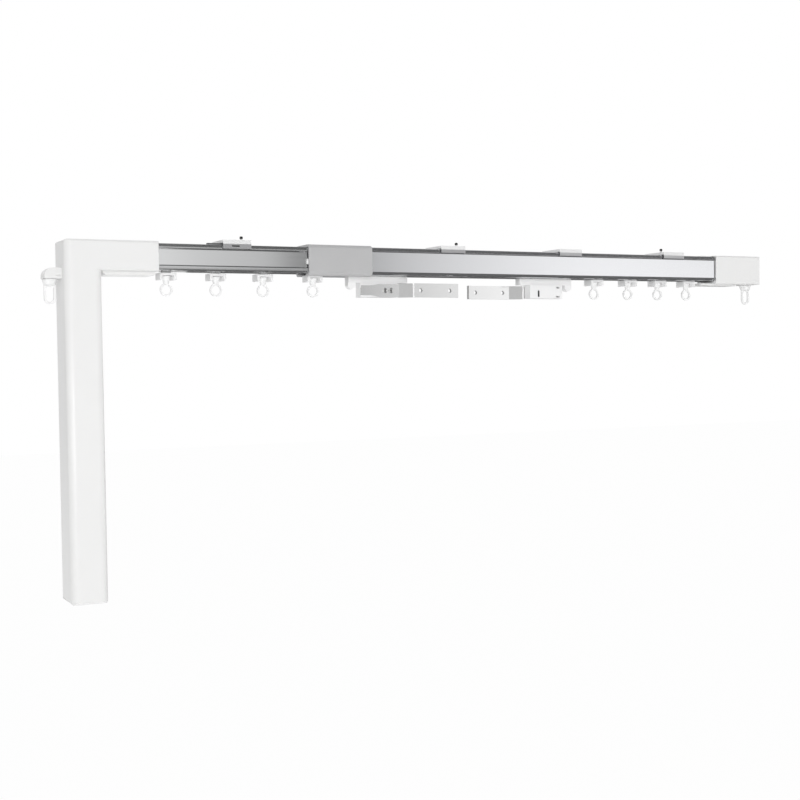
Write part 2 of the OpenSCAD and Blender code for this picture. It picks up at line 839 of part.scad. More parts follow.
// Outline of the belt loop at a distance from the pulleys' axes
module belt_outline(r) {
    translate([drive_x, -r]) square([idler_x - drive_x, 2 * r]);
    translate([drive_x, 0]) circle(r);
    translate([idler_x, 0]) circle(r);
}

module drive_belt() {
    color("dimgray") on_rail()
        translate([0, 0, belt_z]) linear_extrude(belt_h) difference() {
            belt_outline(belt_in + belt_t);
            belt_outline(belt_in);
        }
}

// Wheels of one axle, drawn about the axle's middle
module wheel_pair() {
    reach = wheel_in + wheel_w;
    rod_y(0, 0, wheel_axle_r, -reach, reach);
    for (side = [-1, 1])
        translate([0, side * (wheel_in + wheel_w / 2), 0]) rotate([90, 0, 0])
            rotate_extrude() polygon([
                [0, -wheel_w / 2],
                [wheel_r - 0.5, -wheel_w / 2],
                [wheel_r, -wheel_w / 2 + 0.5],
                [wheel_r, wheel_w / 2 - 0.5],
                [wheel_r - 0.5, wheel_w / 2],
                [0, wheel_w / 2]
            ]);
}

function axle_z(floor_z) = floor_z + wheel_gap + wheel_r;
function floor_of(i) = i <= left_count ? inner_floor : outer_floor;

module runner(i) {
    z = axle_z(floor_of(i));
    color("white") on_rail() translate([runner_x[i - 1], 0, 0]) difference() {
        union() {
            translate([0, 0, hang_top - plate_t])
                linear_extrude(plate_t) rounded_rect(runner_len, runner_d, 1);
            intersection() {
                translate([0, 0, block_foot])
                    linear_extrude(runner_h) rounded_rect(runner_len, runner_d, 1);
                for (side = [-1, 1])
                    translate([side * (runner_len - block_t) / 2, 0, block_foot + runner_h / 2])
                        cube([block_t, runner_d, runner_h], center = true);
            }
            block([-neck_len / 2, -neck_d / 2, hang_top - eps],
                  [neck_len / 2, neck_d / 2, z]);
            rod_y(0, z, neck_len / 2, -neck_d / 2, neck_d / 2);
        }
        rod_y(0, z, wheel_axle_r + pin_gap, -neck_d, neck_d);
        swivel_seat(hang_top - plate_t, plate_t + 1);
    }
}

module runner_wheels(i) {
    color("ghostwhite") on_rail()
        translate([runner_x[i - 1], 0, axle_z(floor_of(i))]) wheel_pair();
}

module runner_ring(i) {
    top = hang_top - plate_t - swivel_gap;
    cone_foot = ring_z + ring_ro - 1;
    color("white") on_rail() translate([runner_x[i - 1], 0, 0]) difference() {
        union() {
            swivel_stem(top, plate_t + 1 + swivel_gap);
            translate([0, 0, cone_foot])
                cylinder(r1 = cone_foot_r, r2 = cone_r, h = top - cone_foot);
            rod_y(0, ring_z, ring_ro, -ring_t / 2, ring_t / 2);
        }
        rod_y(0, ring_z, ring_ri, -ring_t, ring_t);
    }
}

// Places a lead carrier: the right one is the left one turned half round
module at_carrier(side) {
    on_rail()
        translate([side == "left" ? left_carrier_x : right_carrier_x, 0, 0])
            rotate([0, 0, side == "left" ? 0 : 180]) children();
}

function carrier_floor(side) = side == "left" ? inner_floor : outer_floor;

module carrier(side) {
    z = axle_z(carrier_floor(side));
    head_top = z + head_over;
    lobe_r = 4.2;
    lobe_x = -bar_len / 2 + lobe_r;
    lobe_z = hang_top - bar_h - 2.2;
    jaw_z = belt_z + belt_h + 0.8;
    jaw_in = belt_in - clamp_gap;
    jaw_out = belt_in + belt_t + clamp_gap;
    color("white") at_carrier(side) difference() {
        union() {
            translate([0, 0, hang_top - bar_h])
                linear_extrude(bar_h) rounded_rect(bar_len, bar_d, 1.5);
            translate([0, 0, body_foot])
                linear_extrude(body_h + eps) rounded_rect(body_len, body_d, 1.2);
            rod_y(lobe_x, lobe_z, lobe_r, -bar_d / 2 + 1, bar_d / 2 - 1);
            block([lobe_x - lobe_r, -bar_d / 2 + 1, lobe_z],
                  [lobe_x + lobe_r, bar_d / 2 - 1, hang_top - bar_h + 1]);
            for (x = [-axle_base / 2, axle_base / 2])
                block([x - neck_len / 2, -neck_d / 2, hang_top - eps],
                      [x + neck_len / 2, neck_d / 2, head_top]);
            block([-axle_base / 2, -neck_d / 2, z - head_over], [axle_base / 2, neck_d / 2, head_top]);
            block([-clamp_len / 2, -neck_d / 2, z], [clamp_len / 2, neck_d / 2, belt_z - 1]);
            block([-clamp_len / 2, -jaw_out - clamp_wall, belt_z - 3.5],
                  [clamp_len / 2, neck_d / 2, belt_z - 1]);
            block([-clamp_len / 2, -jaw_out - clamp_wall, belt_z - 1 - eps],
                  [clamp_len / 2, -jaw_out, jaw_z]);
            block([-clamp_len / 2, -jaw_in, belt_z - 1 - eps],
                  [clamp_len / 2, -jaw_in + 2 * clamp_wall, jaw_z]);
        }
        for (x = [-axle_base / 2, axle_base / 2])
            rod_y(x, z, wheel_axle_r + pin_gap, -neck_d, neck_d);
        for (k = [0, 1])
            rod_y(arm_screw_x + k * arm_screw_pitch, arm_z, arm_screw_r + pin_gap,
                  -body_d, -body_d / 2 + arm_screw_len);
    }
}

module carrier_wheels(side, end) {
    color("ghostwhite") at_carrier(side)
        translate([end * axle_base / 2, 0, axle_z(carrier_floor(side))]) wheel_pair();
}

// Bent metal strip that carries the leading edge of the curtain
module arm(side) {
    face = -body_d / 2;
    tip_in = face - arm_step;
    narrow = 1.6;
    color("silver") at_carrier(side) difference() {
        union() {
            along_y(face - arm_t, face) translate([0, arm_z])
                polygon([
                    [-body_len / 2, -foot_h / 2 + narrow],
                    [-body_len / 4, -foot_h / 2 + narrow],
                    [0, -foot_h / 2],
                    [arm_start - 1, -foot_h / 2],
                    [arm_start - 1, foot_h / 2],
                    [0, foot_h / 2],
                    [-body_len / 4, foot_h / 2 - narrow],
                    [-body_len / 2, foot_h / 2 - narrow]
                ]);
            translate([0, 0, arm_z - arm_h / 2]) linear_extrude(arm_h)
                polygon([
                    [arm_start - 1 - eps, face],
                    [arm_start + arm_bend, face],
                    [arm_start + arm_run + arm_bend, tip_in],
                    [arm_reach - arm_t, tip_in],
                    [arm_reach - arm_t, tip_in + arm_lip],
                    [arm_reach, tip_in + arm_lip],
                    [arm_reach, tip_in - arm_t],
                    [arm_start + arm_run, tip_in - arm_t],
                    [arm_start, face - arm_t],
                    [arm_start - 1 - eps, face - arm_t]
                ]);
        }
        for (k = [0, 1])
            rod_y(arm_hole_x + k * arm_hole_pitch, arm_z, arm_hole_r, tip_in - far, face + far);
        for (k = [0, 1])
            rod_y(arm_screw_x + k * arm_screw_pitch, arm_z, arm_screw_r + pin_gap, face - far, face + far);
    }
}

module arm_screws(side) {
    face = -body_d / 2 - arm_t;
    color("gray") at_carrier(side)
        for (k = [0, 1])
            translate([arm_screw_x + k * arm_screw_pitch, 0, arm_z]) difference() {
                union() {
                    rod_y(0, 0, arm_screw_r, face - eps, face + arm_t + arm_screw_len - 0.5);
                    rod_y(0, 0, arm_screw_head_r, face - arm_screw_head_h, face);
                }
                for (turn = [0, 90])
                    translate([0, face - arm_screw_head_h, 0]) rotate([0, turn, 0])
                        cube([3.4, 1.6, 0.8], center = true);
            }
}

// Clip over a rail: a plate on the ceiling and two jaws that hook into the rail's grooves
module clip(w, h) {
    gap = fit_gap;
    leg_in = w / 2 + gap;
    groove_top = h / 2 - groove_drop;
    hook_top = groove_top - (groove_h - hook_h) / 2;
    plate_z = ceiling_z - clip_t;
    difference() {
        union() {
            block([-clip_w / 2, -leg_in - jaw_t, plate_z], [clip_w / 2, leg_in + jaw_t, ceiling_z]);
            for (side = [-1, 1])
                mirror([0, side < 0 ? 1 : 0, 0]) {
                    block([-clip_w / 2, leg_in, hook_top - hook_h],
                          [clip_w / 2, leg_in + jaw_t, plate_z + eps]);
                    block([-clip_w / 2, w / 2 - jaw_hook, hook_top - hook_h],
                          [clip_w / 2, leg_in + eps, hook_top]);
                }
        }
        translate([0, 0, plate_z - eps]) cylinder(r = clip_hole_r, h = clip_t + 2 * eps);
    }
}

module ceiling_clips() {
    color("lightgray") on_rail()
        for (x = outer_clip_x)
            translate([x, 0, 0]) clip(outer_w, outer_h);
}

module inner_clip() {
    color("lightgray") on_rail() translate([inner_clip_x, 0, 0]) difference() {
        clip(inner_w, inner_h);
        translate([lever_pin_x, lever_pin_y, ceiling_z - clip_t - eps])
            cylinder(r = lever_pin_r + pin_gap, h = clip_t + 2 * eps);
    }
}

// Small lever between the inner rail and its clip's plate, on a pin in the plate
module clip_lever() {
    z0 = inner_h / 2 + lever_gap;
    z1 = ceiling_z - clip_t - lever_gap;
    color("gray") on_rail() translate([inner_clip_x + lever_pin_x, lever_pin_y, 0]) {
        translate([0, 0, z0]) linear_extrude(z1 - z0) {
            circle(lever_w / 2);
            polygon([
                [0, -lever_w / 2],
                [0, lever_w / 2],
                [-lever_len, 0],
                [-lever_len, -lever_w / 2]
            ]);
        }
        translate([0, 0, z1 - eps]) cylinder(r = lever_pin_r, h = clip_t);
    }
}

outer_rail();
joint_sleeve();
end_cap();
end_cap_lid();
idler_axle();
idler_pulley();
right_end_loop();
ceiling_clips();
inner_rail();
drive_housing();
rear_cover();
cover_screws();
slot_cover();
bottom_cap();
power_inlet();
set_button();
motor_can();
gearbox();
output_shaft();
drive_pulley();
circuit_board();
left_end_arm();
left_end_loop();
inner_clip();
clip_lever();
drive_belt();
for (side = ["left", "right"]) {
    carrier(side);
    arm(side);
    arm_screws(side);
    carrier_wheels(side, -1);
    carrier_wheels(side, 1);
}
for (i = [1 : runner_count]) {
    runner(i);
    runner_wheels(i);
    runner_ring(i);
}
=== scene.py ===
import json
import math

import bmesh
import bpy
from mathutils import Matrix, Vector

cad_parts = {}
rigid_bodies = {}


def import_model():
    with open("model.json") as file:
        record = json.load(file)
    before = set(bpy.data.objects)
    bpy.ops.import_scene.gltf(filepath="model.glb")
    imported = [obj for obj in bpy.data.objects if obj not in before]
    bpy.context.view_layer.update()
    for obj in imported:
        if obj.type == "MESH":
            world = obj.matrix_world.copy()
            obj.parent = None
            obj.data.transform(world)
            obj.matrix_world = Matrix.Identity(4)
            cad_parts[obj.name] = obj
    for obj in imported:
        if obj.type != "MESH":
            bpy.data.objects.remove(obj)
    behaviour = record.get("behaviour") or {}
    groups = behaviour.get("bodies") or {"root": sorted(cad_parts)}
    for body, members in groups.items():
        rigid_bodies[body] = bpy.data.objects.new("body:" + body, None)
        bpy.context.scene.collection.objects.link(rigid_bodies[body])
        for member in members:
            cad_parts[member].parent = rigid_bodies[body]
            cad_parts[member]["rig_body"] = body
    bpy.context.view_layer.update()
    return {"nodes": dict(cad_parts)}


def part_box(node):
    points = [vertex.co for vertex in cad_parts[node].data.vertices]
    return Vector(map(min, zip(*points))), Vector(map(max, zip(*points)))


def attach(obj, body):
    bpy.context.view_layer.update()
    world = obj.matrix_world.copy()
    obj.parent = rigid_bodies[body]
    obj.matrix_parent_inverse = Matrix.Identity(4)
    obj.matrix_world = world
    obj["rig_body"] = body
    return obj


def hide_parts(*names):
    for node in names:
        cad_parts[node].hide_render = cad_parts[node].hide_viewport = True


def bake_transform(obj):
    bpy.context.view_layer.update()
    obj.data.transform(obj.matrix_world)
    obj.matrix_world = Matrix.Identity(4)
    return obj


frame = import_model()
scene = bpy.context.scene
scene.view_settings.view_transform = "Standard"

# The studio: a white room with a pale floor far below, because the track hangs from a ceiling.
# Two soft lamps light it and stay out of reflections. Cards that only polished surfaces show,
# from near black to white, give the metal its light and dark bands.
white_room = bpy.data.worlds.new("white_room")
scene.world = white_room
white_room.use_nodes = True


def lit_or_seen(tree, lit, seen):
    """A value that is seen for camera, glossy and transmitted rays, and lit for the light they shed."""
    path = tree.nodes.new("ShaderNodeLightPath")
    total = path.outputs["Is Camera Ray"]
    for kind in ("Is Glossy Ray", "Is Transmission Ray"):
        pick = tree.nodes.new("ShaderNodeMath")
        pick.operation = "MAXIMUM"
        tree.links.new(total, pick.inputs[0])
        tree.links.new(path.outputs[kind], pick.inputs[1])
        total = pick.outputs[0]
    span = tree.nodes.new("ShaderNodeMapRange")
    span.inputs["To Min"].default_value = lit
    span.inputs["To Max"].default_value = seen
    tree.links.new(total, span.inputs["Value"])
    return span.outputs["Result"]


room_lit = 0.66
room_seen = 1.0
room_nodes = white_room.node_tree
room_light = room_nodes.nodes["Background"]
room_light.inputs["Color"].default_value = (1, 1, 1, 1)
room_nodes.links.new(lit_or_seen(room_nodes, room_lit, room_seen), room_light.inputs["Strength"])

floor_depth = 2.3
floor_half = 30
floor_white = 1.03
floor_seen = 0.9
square = ((-1, -1), (1, -1), (1, 1), (-1, 1))
floor_mesh = bpy.data.meshes.new("studio_floor")
floor_mesh.from_pydata(
    [(a * floor_half, b * floor_half, -floor_depth) for a, b in square], [], [(0, 1, 2, 3)])
studio_floor = bpy.data.objects.new("studio_floor", floor_mesh)
scene.collection.objects.link(studio_floor)
pale_floor = bpy.data.materials.new("pale_floor")
pale_floor.use_nodes = True
floor_tree = pale_floor.node_tree
floor_bsdf = floor_tree.nodes["Principled BSDF"]
floor_bsdf.inputs["Base Color"].default_value = (0.9, 0.9, 0.9, 1)
floor_bsdf.inputs["Roughness"].default_value = 0.9
floor_glow = floor_tree.nodes.new("ShaderNodeEmission")
floor_mix = floor_tree.nodes.new("ShaderNodeMixShader")
floor_glow.inputs["Strength"].default_value = floor_white
floor_tree.links.new(lit_or_seen(floor_tree, 0.0, floor_seen), floor_mix.inputs[0])
floor_tree.links.new(floor_bsdf.outputs[0], floor_mix.inputs[1])
floor_tree.links.new(floor_glow.outputs[0], floor_mix.inputs[2])
floor_tree.links.new(floor_mix.outputs[0], floor_tree.nodes["Material Output"].inputs["Surface"])
floor_mesh.materials.append(pale_floor)


def soft_lamp(name, place, target, size, watts):
    """A rectangular lamp turned towards a target, which polished surfaces don't show."""
    lamp = bpy.data.lights.new(name, "AREA")
    lamp.shape = "RECTANGLE"
    lamp.size, lamp.size_y = size
    lamp.energy = watts
    holder = bpy.data.objects.new(name, lamp)
    holder.location = place
    holder.visible_glossy = False
    holder.rotation_euler = (Vector(target) - Vector(place)).to_track_quat("-Z", "Y").to_euler()
    scene.collection.objects.link(holder)


soft_lamp("front_lamp", place=(-1.2, -3.0, 0.45), target=(-0.1, 0, -0.1), size=(0.9, 1.6), watts=28.5)
soft_lamp("floor_lamp", place=(0.0, -0.9, -2.1), target=(0, 0, 0), size=(3.0, 1.6), watts=16)


def reflected_card(name, centre, target, size, greys):
    """A studio card that only shows in polished surfaces, graded from its one side to the other."""
    half_w, half_h = size[0] / 2, size[1] / 2
    facing = (Vector(target) - Vector(centre)).to_track_quat("Z", "Y").to_matrix().to_4x4()
    place = Matrix.Translation(centre) @ facing
    sheet = bpy.data.meshes.new(name)
    sheet.from_pydata([place @ Vector((a * half_w, b * half_h, 0)) for a, b in square], [], [(0, 1, 2, 3)])
    across = sheet.uv_layers.new(name="across")
    for loop, spot in zip(across.data, ((1, 0), (0, 0), (0, 1), (1, 1))):
        loop.uv = spot
    tone = bpy.data.materials.new(name)
    tone.use_nodes = True
    tree = tone.node_tree
    tree.nodes.clear()
    uv_map = tree.nodes.new("ShaderNodeUVMap")
    ramp = tree.nodes.new("ShaderNodeValToRGB")
    stops = ramp.color_ramp.elements
    for where, grey in greys:
        stop = stops[0] if where == 0.0 else stops[-1] if where == 1.0 else stops.new(where)
        stop.color = (grey, grey, grey, 1)
    way = tree.nodes.new("ShaderNodeSeparateXYZ")
    tree.links.new(uv_map.outputs["UV"], way.inputs["Vector"])
    tree.links.new(way.outputs["X"], ramp.inputs["Fac"])
    glow = tree.nodes.new("ShaderNodeEmission")
    tree.links.new(ramp.outputs["Color"], glow.inputs["Color"])
    out = tree.nodes.new("ShaderNodeOutputMaterial")
    tree.links.new(glow.outputs[0], out.inputs["Surface"])
    sheet.materials.append(tone)
    card = bpy.data.objects.new(name, sheet)
    card.visible_camera = False
    card.visible_diffuse = False
    card.visible_shadow = False
    card.visible_transmission = False
    scene.collection.objects.link(card)


shade = ((0.0, 0.12), (1.0, 0.12))
reflected_card("card_above", (5.6, -5.5, 2.0), (5.6, -5.5, 0), (10.6, 13.0), shade)
reflected_card("card_below", (5.6, -4.0, -2.0), (5.6, -4.0, 0), (10.6, 16.0), shade)
reflected_card("card_behind", (2.6, 4.0, -0.75), (2.6, 0, -0.75), (3.2, 1.2), shade)
soft_grey = ((0.0, 0.75), (0.5, 0.55), (0.8, 0.55), (1.0, 0.72))
reflected_card("card_front", (-1.625, -2.6, 0.95), (-1.625, 0, 0.95), (3.65, 6.3), soft_grey)
reflected_card("card_floor", (-1.5, -1.6, -2.2), (-1.5, -1.6, 0), (3.4, 2.0), soft_grey)
reflected_card("card_glint", (-0.62, -0.35, -0.2), (-0.62, 0, -0.2), (0.42, 0.14), ((0.0, 2.2), (1.0, 2.2)))
reflected_card("card_over", (0.0, 5.1, 2.5), (0.0, 5.1, 0), (16.0, 7.8), ((0.0, 0.7), (1.0, 0.7)))
reflected_card("card_back", (-0.3, 3.6, -0.7), (-0.3, 0, -0.7), (1.4, 2.4), (
    (0.0, 0.85), (0.3, 0.62), (0.6, 0.55), (1.0, 0.7)))
reflected_card("card_side", (-1.55, 2.4, 0.3), (-1.55, 0, 0.3), (0.7, 1.6), shade)
reflected_card("card_left", (-1.35, -1.8, 0), (0, 0, 0), (1.3, 1.0), ((0.0, 0.5), (1.0, 0.5)))
reflected_card("card_right", (1.3, -2.3, 0.1), (1.3, 0, 0.1), (2.2, 1.0), (
    (0.0, 0.90), (0.08, 0.85), (0.13, 0.71), (0.19, 0.64), (0.236, 0.62), (0.244, 0.33), (0.28, 0.28),
    (0.34, 0.30), (0.375, 0.61), (0.44, 0.72), (0.58, 0.95), (0.70, 1.09), (0.85, 1.06), (1.0, 0.98)))

# The camera at the photograph's place: a long lens, to the left of the track and a little below its rail.
# It looks across the track, almost level, with a slight roll.
camera_place = (-0.6857, -1.2425, -0.11355)
camera_azimuth = math.radians(26.86)
camera_elevation = math.radians(1.95)
camera_roll = math.radians(-0.78)
camera = bpy.data.cameras.new("camera")
camera.sensor_width = 36.0
camera.lens = 59.81
camera_holder = bpy.data.objects.new("camera", camera)
back = Vector((
    -math.sin(camera_azimuth) * math.cos(camera_elevation),
    -math.cos(camera_azimuth) * math.cos(camera_elevation),
    math.sin(camera_elevation),
))
level_right = Vector((math.cos(camera_azimuth), -math.sin(camera_azimuth), 0))
level_up = back.cross(level_right)
right = math.cos(camera_roll) * level_right + math.sin(camera_roll) * level_up
up = -math.sin(camera_roll) * level_right + math.cos(camera_roll) * level_up
turn = Matrix((right, up, back)).transposed().to_4x4()
camera_holder.matrix_world = Matrix.Translation(camera_place) @ turn
scene.collection.objects.link(camera_holder)
scene.camera = camera_holder


# The outer rail: an extruded aluminium channel, anodised, with rounded long edges and a slot below.
# Its surface keeps the faint straight lines that the die leaves along the profile.
def socketed_group(name, inputs, outputs):
    """An empty shader node group with these named inputs and outputs, and its two end nodes."""
    group = bpy.data.node_groups.new(name, "ShaderNodeTree")
    for label, kind, value in inputs:
        socket = group.interface.new_socket(label, in_out="INPUT", socket_type=kind)
        socket.default_value = value
    for label, kind in outputs:
        group.interface.new_socket(label, in_out="OUTPUT", socket_type=kind)
    return group, group.nodes.new("NodeGroupInput"), group.nodes.new("NodeGroupOutput")


def surface_noise(group, scale, stretch, detail):
    """Noise on the piece's own coordinates, which stretch draws out along a brushed surface."""
    place = group.nodes.new("ShaderNodeTexCoord")
    press = group.nodes.new("ShaderNodeMapping")
    press.inputs["Scale"].default_value = stretch
    group.links.new(place.outputs["Object"], press.inputs["Vector"])
    noise = group.nodes.new("ShaderNodeTexNoise")
    noise.inputs["Detail"].default_value = detail
    group.links.new(press.outputs["Vector"], noise.inputs["Vector"])
    if isinstance(scale, float):
        noise.inputs["Scale"].default_value = scale
    else:
        group.links.new(scale, noise.inputs["Scale"])
    return noise.outputs["Fac"]


def between(group, fraction, low, high, colour):
    """Mixes two group inputs by a fraction."""
    mix = group.nodes.new("ShaderNodeMix")
    mix.data_type = "RGBA" if colour else "FLOAT"
    pins = [s for s in mix.inputs if s.enabled]
    group.links.new(fraction, pins[0])
    group.links.new(low, pins[1])
    group.links.new(high, pins[2])
    return [s for s in mix.outputs if s.enabled][0]


finish_inputs = (
    ("Scale", "NodeSocketFloat", 900.0),
    ("Dark", "NodeSocketColor", (0.8, 0.8, 0.8, 1)),
    ("Light", "NodeSocketColor", (0.9, 0.9, 0.9, 1)),
    ("Smooth", "NodeSocketFloat", 0.3),
    ("Rough", "NodeSocketFloat", 0.4),
)
finish_outputs = (
    ("Colour", "NodeSocketColor"),
    ("Roughness", "NodeSocketFloat"),
    ("Height", "NodeSocketFloat"),
)


def finish_group(name, stretch, patch_scale):
    """A surface finish: broad patches vary colour and roughness, fine noise gives the height."""
    group, start, end = socketed_group(name, finish_inputs, finish_outputs)
    fine = surface_noise(group, start.outputs["Scale"], stretch, detail=3.0)
    patch = surface_noise(group, patch_scale, stretch, detail=4.0)
    colour = between(group, patch, start.outputs["Dark"], start.outputs["Light"], True)
    roughness = between(group, patch, start.outputs["Smooth"], start.outputs["Rough"], False)
    group.links.new(colour, end.inputs["Colour"])
    group.links.new(roughness, end.inputs["Roughness"])
    group.links.new(fine, end.inputs["Height"])
    return group


drawn_lines = finish_group("drawn_lines", stretch=(0.02, 1.0, 1.0), patch_scale=420.0)
moulded_grain = finish_group("moulded_grain", stretch=(1.0, 1.0, 1.0), patch_scale=34.0)


def finished(name, group, scale, dark, light, rough, bump, **shader):
    """A material with one of the finish groups in front of its Principled shader.
    scale is that of its fine noise, and bump is the noise's height in metres."""
    material = bpy.data.materials.new(name)
    material.use_nodes = True
    tree = material.node_tree
    bsdf = tree.nodes["Principled BSDF"]
    node = tree.nodes.new("ShaderNodeGroup")
    node.node_tree = group
    node.inputs["Scale"].default_value = scale
    node.inputs["Dark"].default_value = (*dark, 1)
    node.inputs["Light"].default_value = (*light, 1)
    node.inputs["Smooth"].default_value = rough[0]
    node.inputs["Rough"].default_value = rough[1]
    relief = tree.nodes.new("ShaderNodeBump")
    relief.inputs["Strength"].default_value = 1.0
    relief.inputs["Distance"].default_value = bump
    tree.links.new(node.outputs["Colour"], bsdf.inputs["Base Color"])
    tree.links.new(node.outputs["Roughness"], bsdf.inputs["Roughness"])
    tree.links.new(node.outputs["Height"], relief.inputs["Height"])
    tree.links.new(relief.outputs["Normal"], bsdf.inputs["Normal"])
    for socket, value in shader.items():
        bsdf.inputs[socket.replace("_", " ")].default_value = value
    return material


def applied(obj):
    """Turns an object's modifiers into plain mesh."""
    bpy.context.view_layer.update()
    final = bpy.data.meshes.new_from_object(obj.evaluated_get(bpy.context.evaluated_depsgraph_get()))
    obj.modifiers.clear()
    obj.data = final
    return obj


def dressed(piece, material, body, slot, *nodes):
    """Gives a finished piece its material and its body, and hides the CAD nodes that it stands for. Its slot
    is not used.
    """
    piece.data.name = piece.name
    piece.data.materials.clear()
    piece.data.materials.append(material)
    for face in piece.data.polygons:
        face.material_index = 0
    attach(piece, body)
    if nodes:
        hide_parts(*nodes)
    return piece


def corners_of(node):
    """The lowest and the highest corner of a CAD node."""
    return [Vector(corner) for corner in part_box(node)]


def body_of(node):
    """The body that a CAD node rides on."""
    return frame["nodes"][node]["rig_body"]


def merged_form(node):
    """A bmesh of a CAD node, with its loose triangles joined at their corners."""
    same_spot = 2e-6
    form = bmesh.new()
    form.from_mesh(frame["nodes"][node].data)
    bmesh.ops.remove_doubles(form, verts=form.verts, dist=same_spot)
    return form


def placed(name, form):
    """A new object in the scene from a bmesh, with smooth faces."""
    mesh = bpy.data.meshes.new(name)
    for face in form.faces:
        face.smooth = True
    form.to_mesh(mesh)
    form.free()
    piece = bpy.data.objects.new(name, mesh)
    scene.collection.objects.link(piece)
    return piece


def soft_edged(piece, edge, steps):
    """Rounds a piece's hard edges, and keeps the broad faces between them flat."""
    hard = math.radians(25)
    bevel = piece.modifiers.new("soft_edges", "BEVEL")
    bevel.width = edge
    bevel.segments = steps
    bevel.limit_method = "ANGLE"
    bevel.angle_limit = hard
    applied(piece)
    piece.data.set_sharp_from_angle(angle=hard)
    even = piece.modifiers.new("flat_faces", "WEIGHTED_NORMAL")
    even.mode = "FACE_AREA"
    even.weight = 100
    even.keep_sharp = True
    return applied(piece)


def rounded_copy(node, name, material, slot, edge, steps=2, cuts=(), rings=(), reshape=None):
    """A copy of a CAD node with its hard edges rounded, in place of the node.
    reshape alters its form first, cuts are forms taken out, and rings are heights where a finish changes."""
    level = math.radians(0.6)
    form = merged_form(node)
    bmesh.ops.dissolve_limit(
        form, angle_limit=level, verts=form.verts, edges=form.edges, delimit={"NORMAL"})
    if reshape:
        reshape(form)
    piece = placed(name, form)
    for cut_form in cuts:
        cutter = placed(name + "_cut", cut_form)
        cut = piece.modifiers.new("recess", "BOOLEAN")
        cut.object = cutter
        cut.solver = "EXACT"
        applied(piece)
        bpy.data.objects.remove(cutter)
    soft_edged(piece, edge, steps)
    for height in rings:
        form = bmesh.new()
        form.from_mesh(piece.data)
        bmesh.ops.bisect_plane(
            form, geom=form.verts[:] + form.edges[:] + form.faces[:], plane_co=(0, 0, height),
            plane_no=(0, 0, 1))
        form.to_mesh(piece.data)
        form.free()
    return dressed(piece, material, body_of(node), slot, node)


outer_anodised = finished(
    "outer_anodised", drawn_lines, scale=2600.0, dark=(0.82, 0.825, 0.845), light=(0.845, 0.85, 0.87),
    rough=(0.14, 0.19), bump=0.000001, Metallic=1.0)


def planed_edges(rail, ups, points):
    """Long cutters beside a rail's upper or lower edges: points are (inset, drop) from a corner."""
    low, high = corners_of(rail)
    over = 0.001
    cutters = []
    for side in (-1, 1):
        for up in ups:
            form = bmesh.new()
            first, last = (
                [form.verts.new((x, side * (high.y - inset), high.z - drop if up > 0 else low.z + drop))
                 for inset, drop in points]
                for x in (low.x - over, high.x + over))
            form.faces.new(first)
            form.faces.new(last)
            for k in range(len(points)):
                form.faces.new((first[k], last[k], last[k - 1], first[k - 1]))
            bmesh.ops.recalc_face_normals(form, faces=form.faces)
            cutters.append(form)
    return cutters


rail_edge = 0.00015
upper_lean = ((0.0, 0.0053), (-0.002, 0.0053), (-0.002, -0.002), (0.0013, -0.002), (0.0003, 0.0045))
lower_lean = ((0.0, 0.0038), (-0.002, 0.0038), (-0.002, -0.002), (0.0011, -0.002), (0.0003, 0.0030))
rounded_copy(
    "outer_rail", "outer_rail_extrusion", outer_anodised, "rail_aluminium", edge=rail_edge,
    cuts=planed_edges("outer_rail", (1,), upper_lean) + planed_edges("outer_rail", (-1,), lower_lean))

# The inner rail: a lighter extruded channel with a recessed web, which slides inside the outer one.
# It is drawn from the same alloy with a slightly greyer anodised skin. The strips along its edges
# are brushed, and the chamfer above the lower one is painted dark as a shade line.
inner_anodised = finished(
    "inner_anodised", drawn_lines, scale=2600.0, dark=(0.77, 0.775, 0.78), light=(0.80, 0.805, 0.81),
    rough=(0.09, 0.12), bump=0.000001, Metallic=1.0)
strip_brushed = finished(
    "strip_brushed", drawn_lines, scale=2600.0, dark=(0.70, 0.705, 0.71), light=(0.73, 0.735, 0.74),
    rough=(0.18, 0.24), bump=0.000001, Metallic=1.0)
# Painted shade: a dark line on the lower chamfer, where shade falls.
groove_dull = finished(
    "groove_dull", drawn_lines, scale=2600.0, dark=(0.30, 0.305, 0.31), light=(0.34, 0.345, 0.35),
    rough=(0.3, 0.4), bump=0.000001, Metallic=1.0)
strip_chamfer = ((-0.0005, 0.0040), (0.0014, 0.0059), (-0.0005, 0.0059))
foot_lean = ((0.0, 0.0027), (-0.002, 0.0027), (-0.002, -0.002), (0.0008, -0.002))
inner_piece = rounded_copy(
    "inner_rail", "inner_rail_extrusion", inner_anodised, "rail_aluminium", edge=rail_edge,
    cuts=planed_edges("inner_rail", (1, -1), strip_chamfer) + planed_edges("inner_rail", (-1,), foot_lean))
strip_depth = 0.0054
groove_depth = 0.0075
outward = 0.9
sloping = 0.5
inner_piece.data.materials.append(strip_brushed)
inner_piece.data.materials.append(groove_dull)
inner_low, inner_high = corners_of("inner_rail")
# Strip faces get the brushed finish, and the lower chamfer's faces get the painted shade line.
for face in inner_piece.data.polygons:
    from_edge = min(inner_high.z - face.center.z, face.center.z - inner_low.z)
    if from_edge < strip_depth and abs(face.normal.y) > outward:
        face.material_index = 1
    elif from_edge < groove_depth and face.normal.z > sloping and abs(face.normal.y) > sloping:
        face.material_index = 2

# The joint sleeve: a grey moulded collar that guides the inner rail into the outer one.
# It is pushed over the outer rail's open end, and its shoulder stops against the rail.
sleeve_grey = finished(
    "sleeve_grey", moulded_grain, scale=2400.0, dark=(0.47, 0.47, 0.475), light=(0.53, 0.53, 0.535),
    rough=(0.5, 0.62), bump=0.00003)
rounded_copy("joint_sleeve", "joint_sleeve_moulding", sleeve_grey, "grey_plastic", edge=0.0003, steps=3)

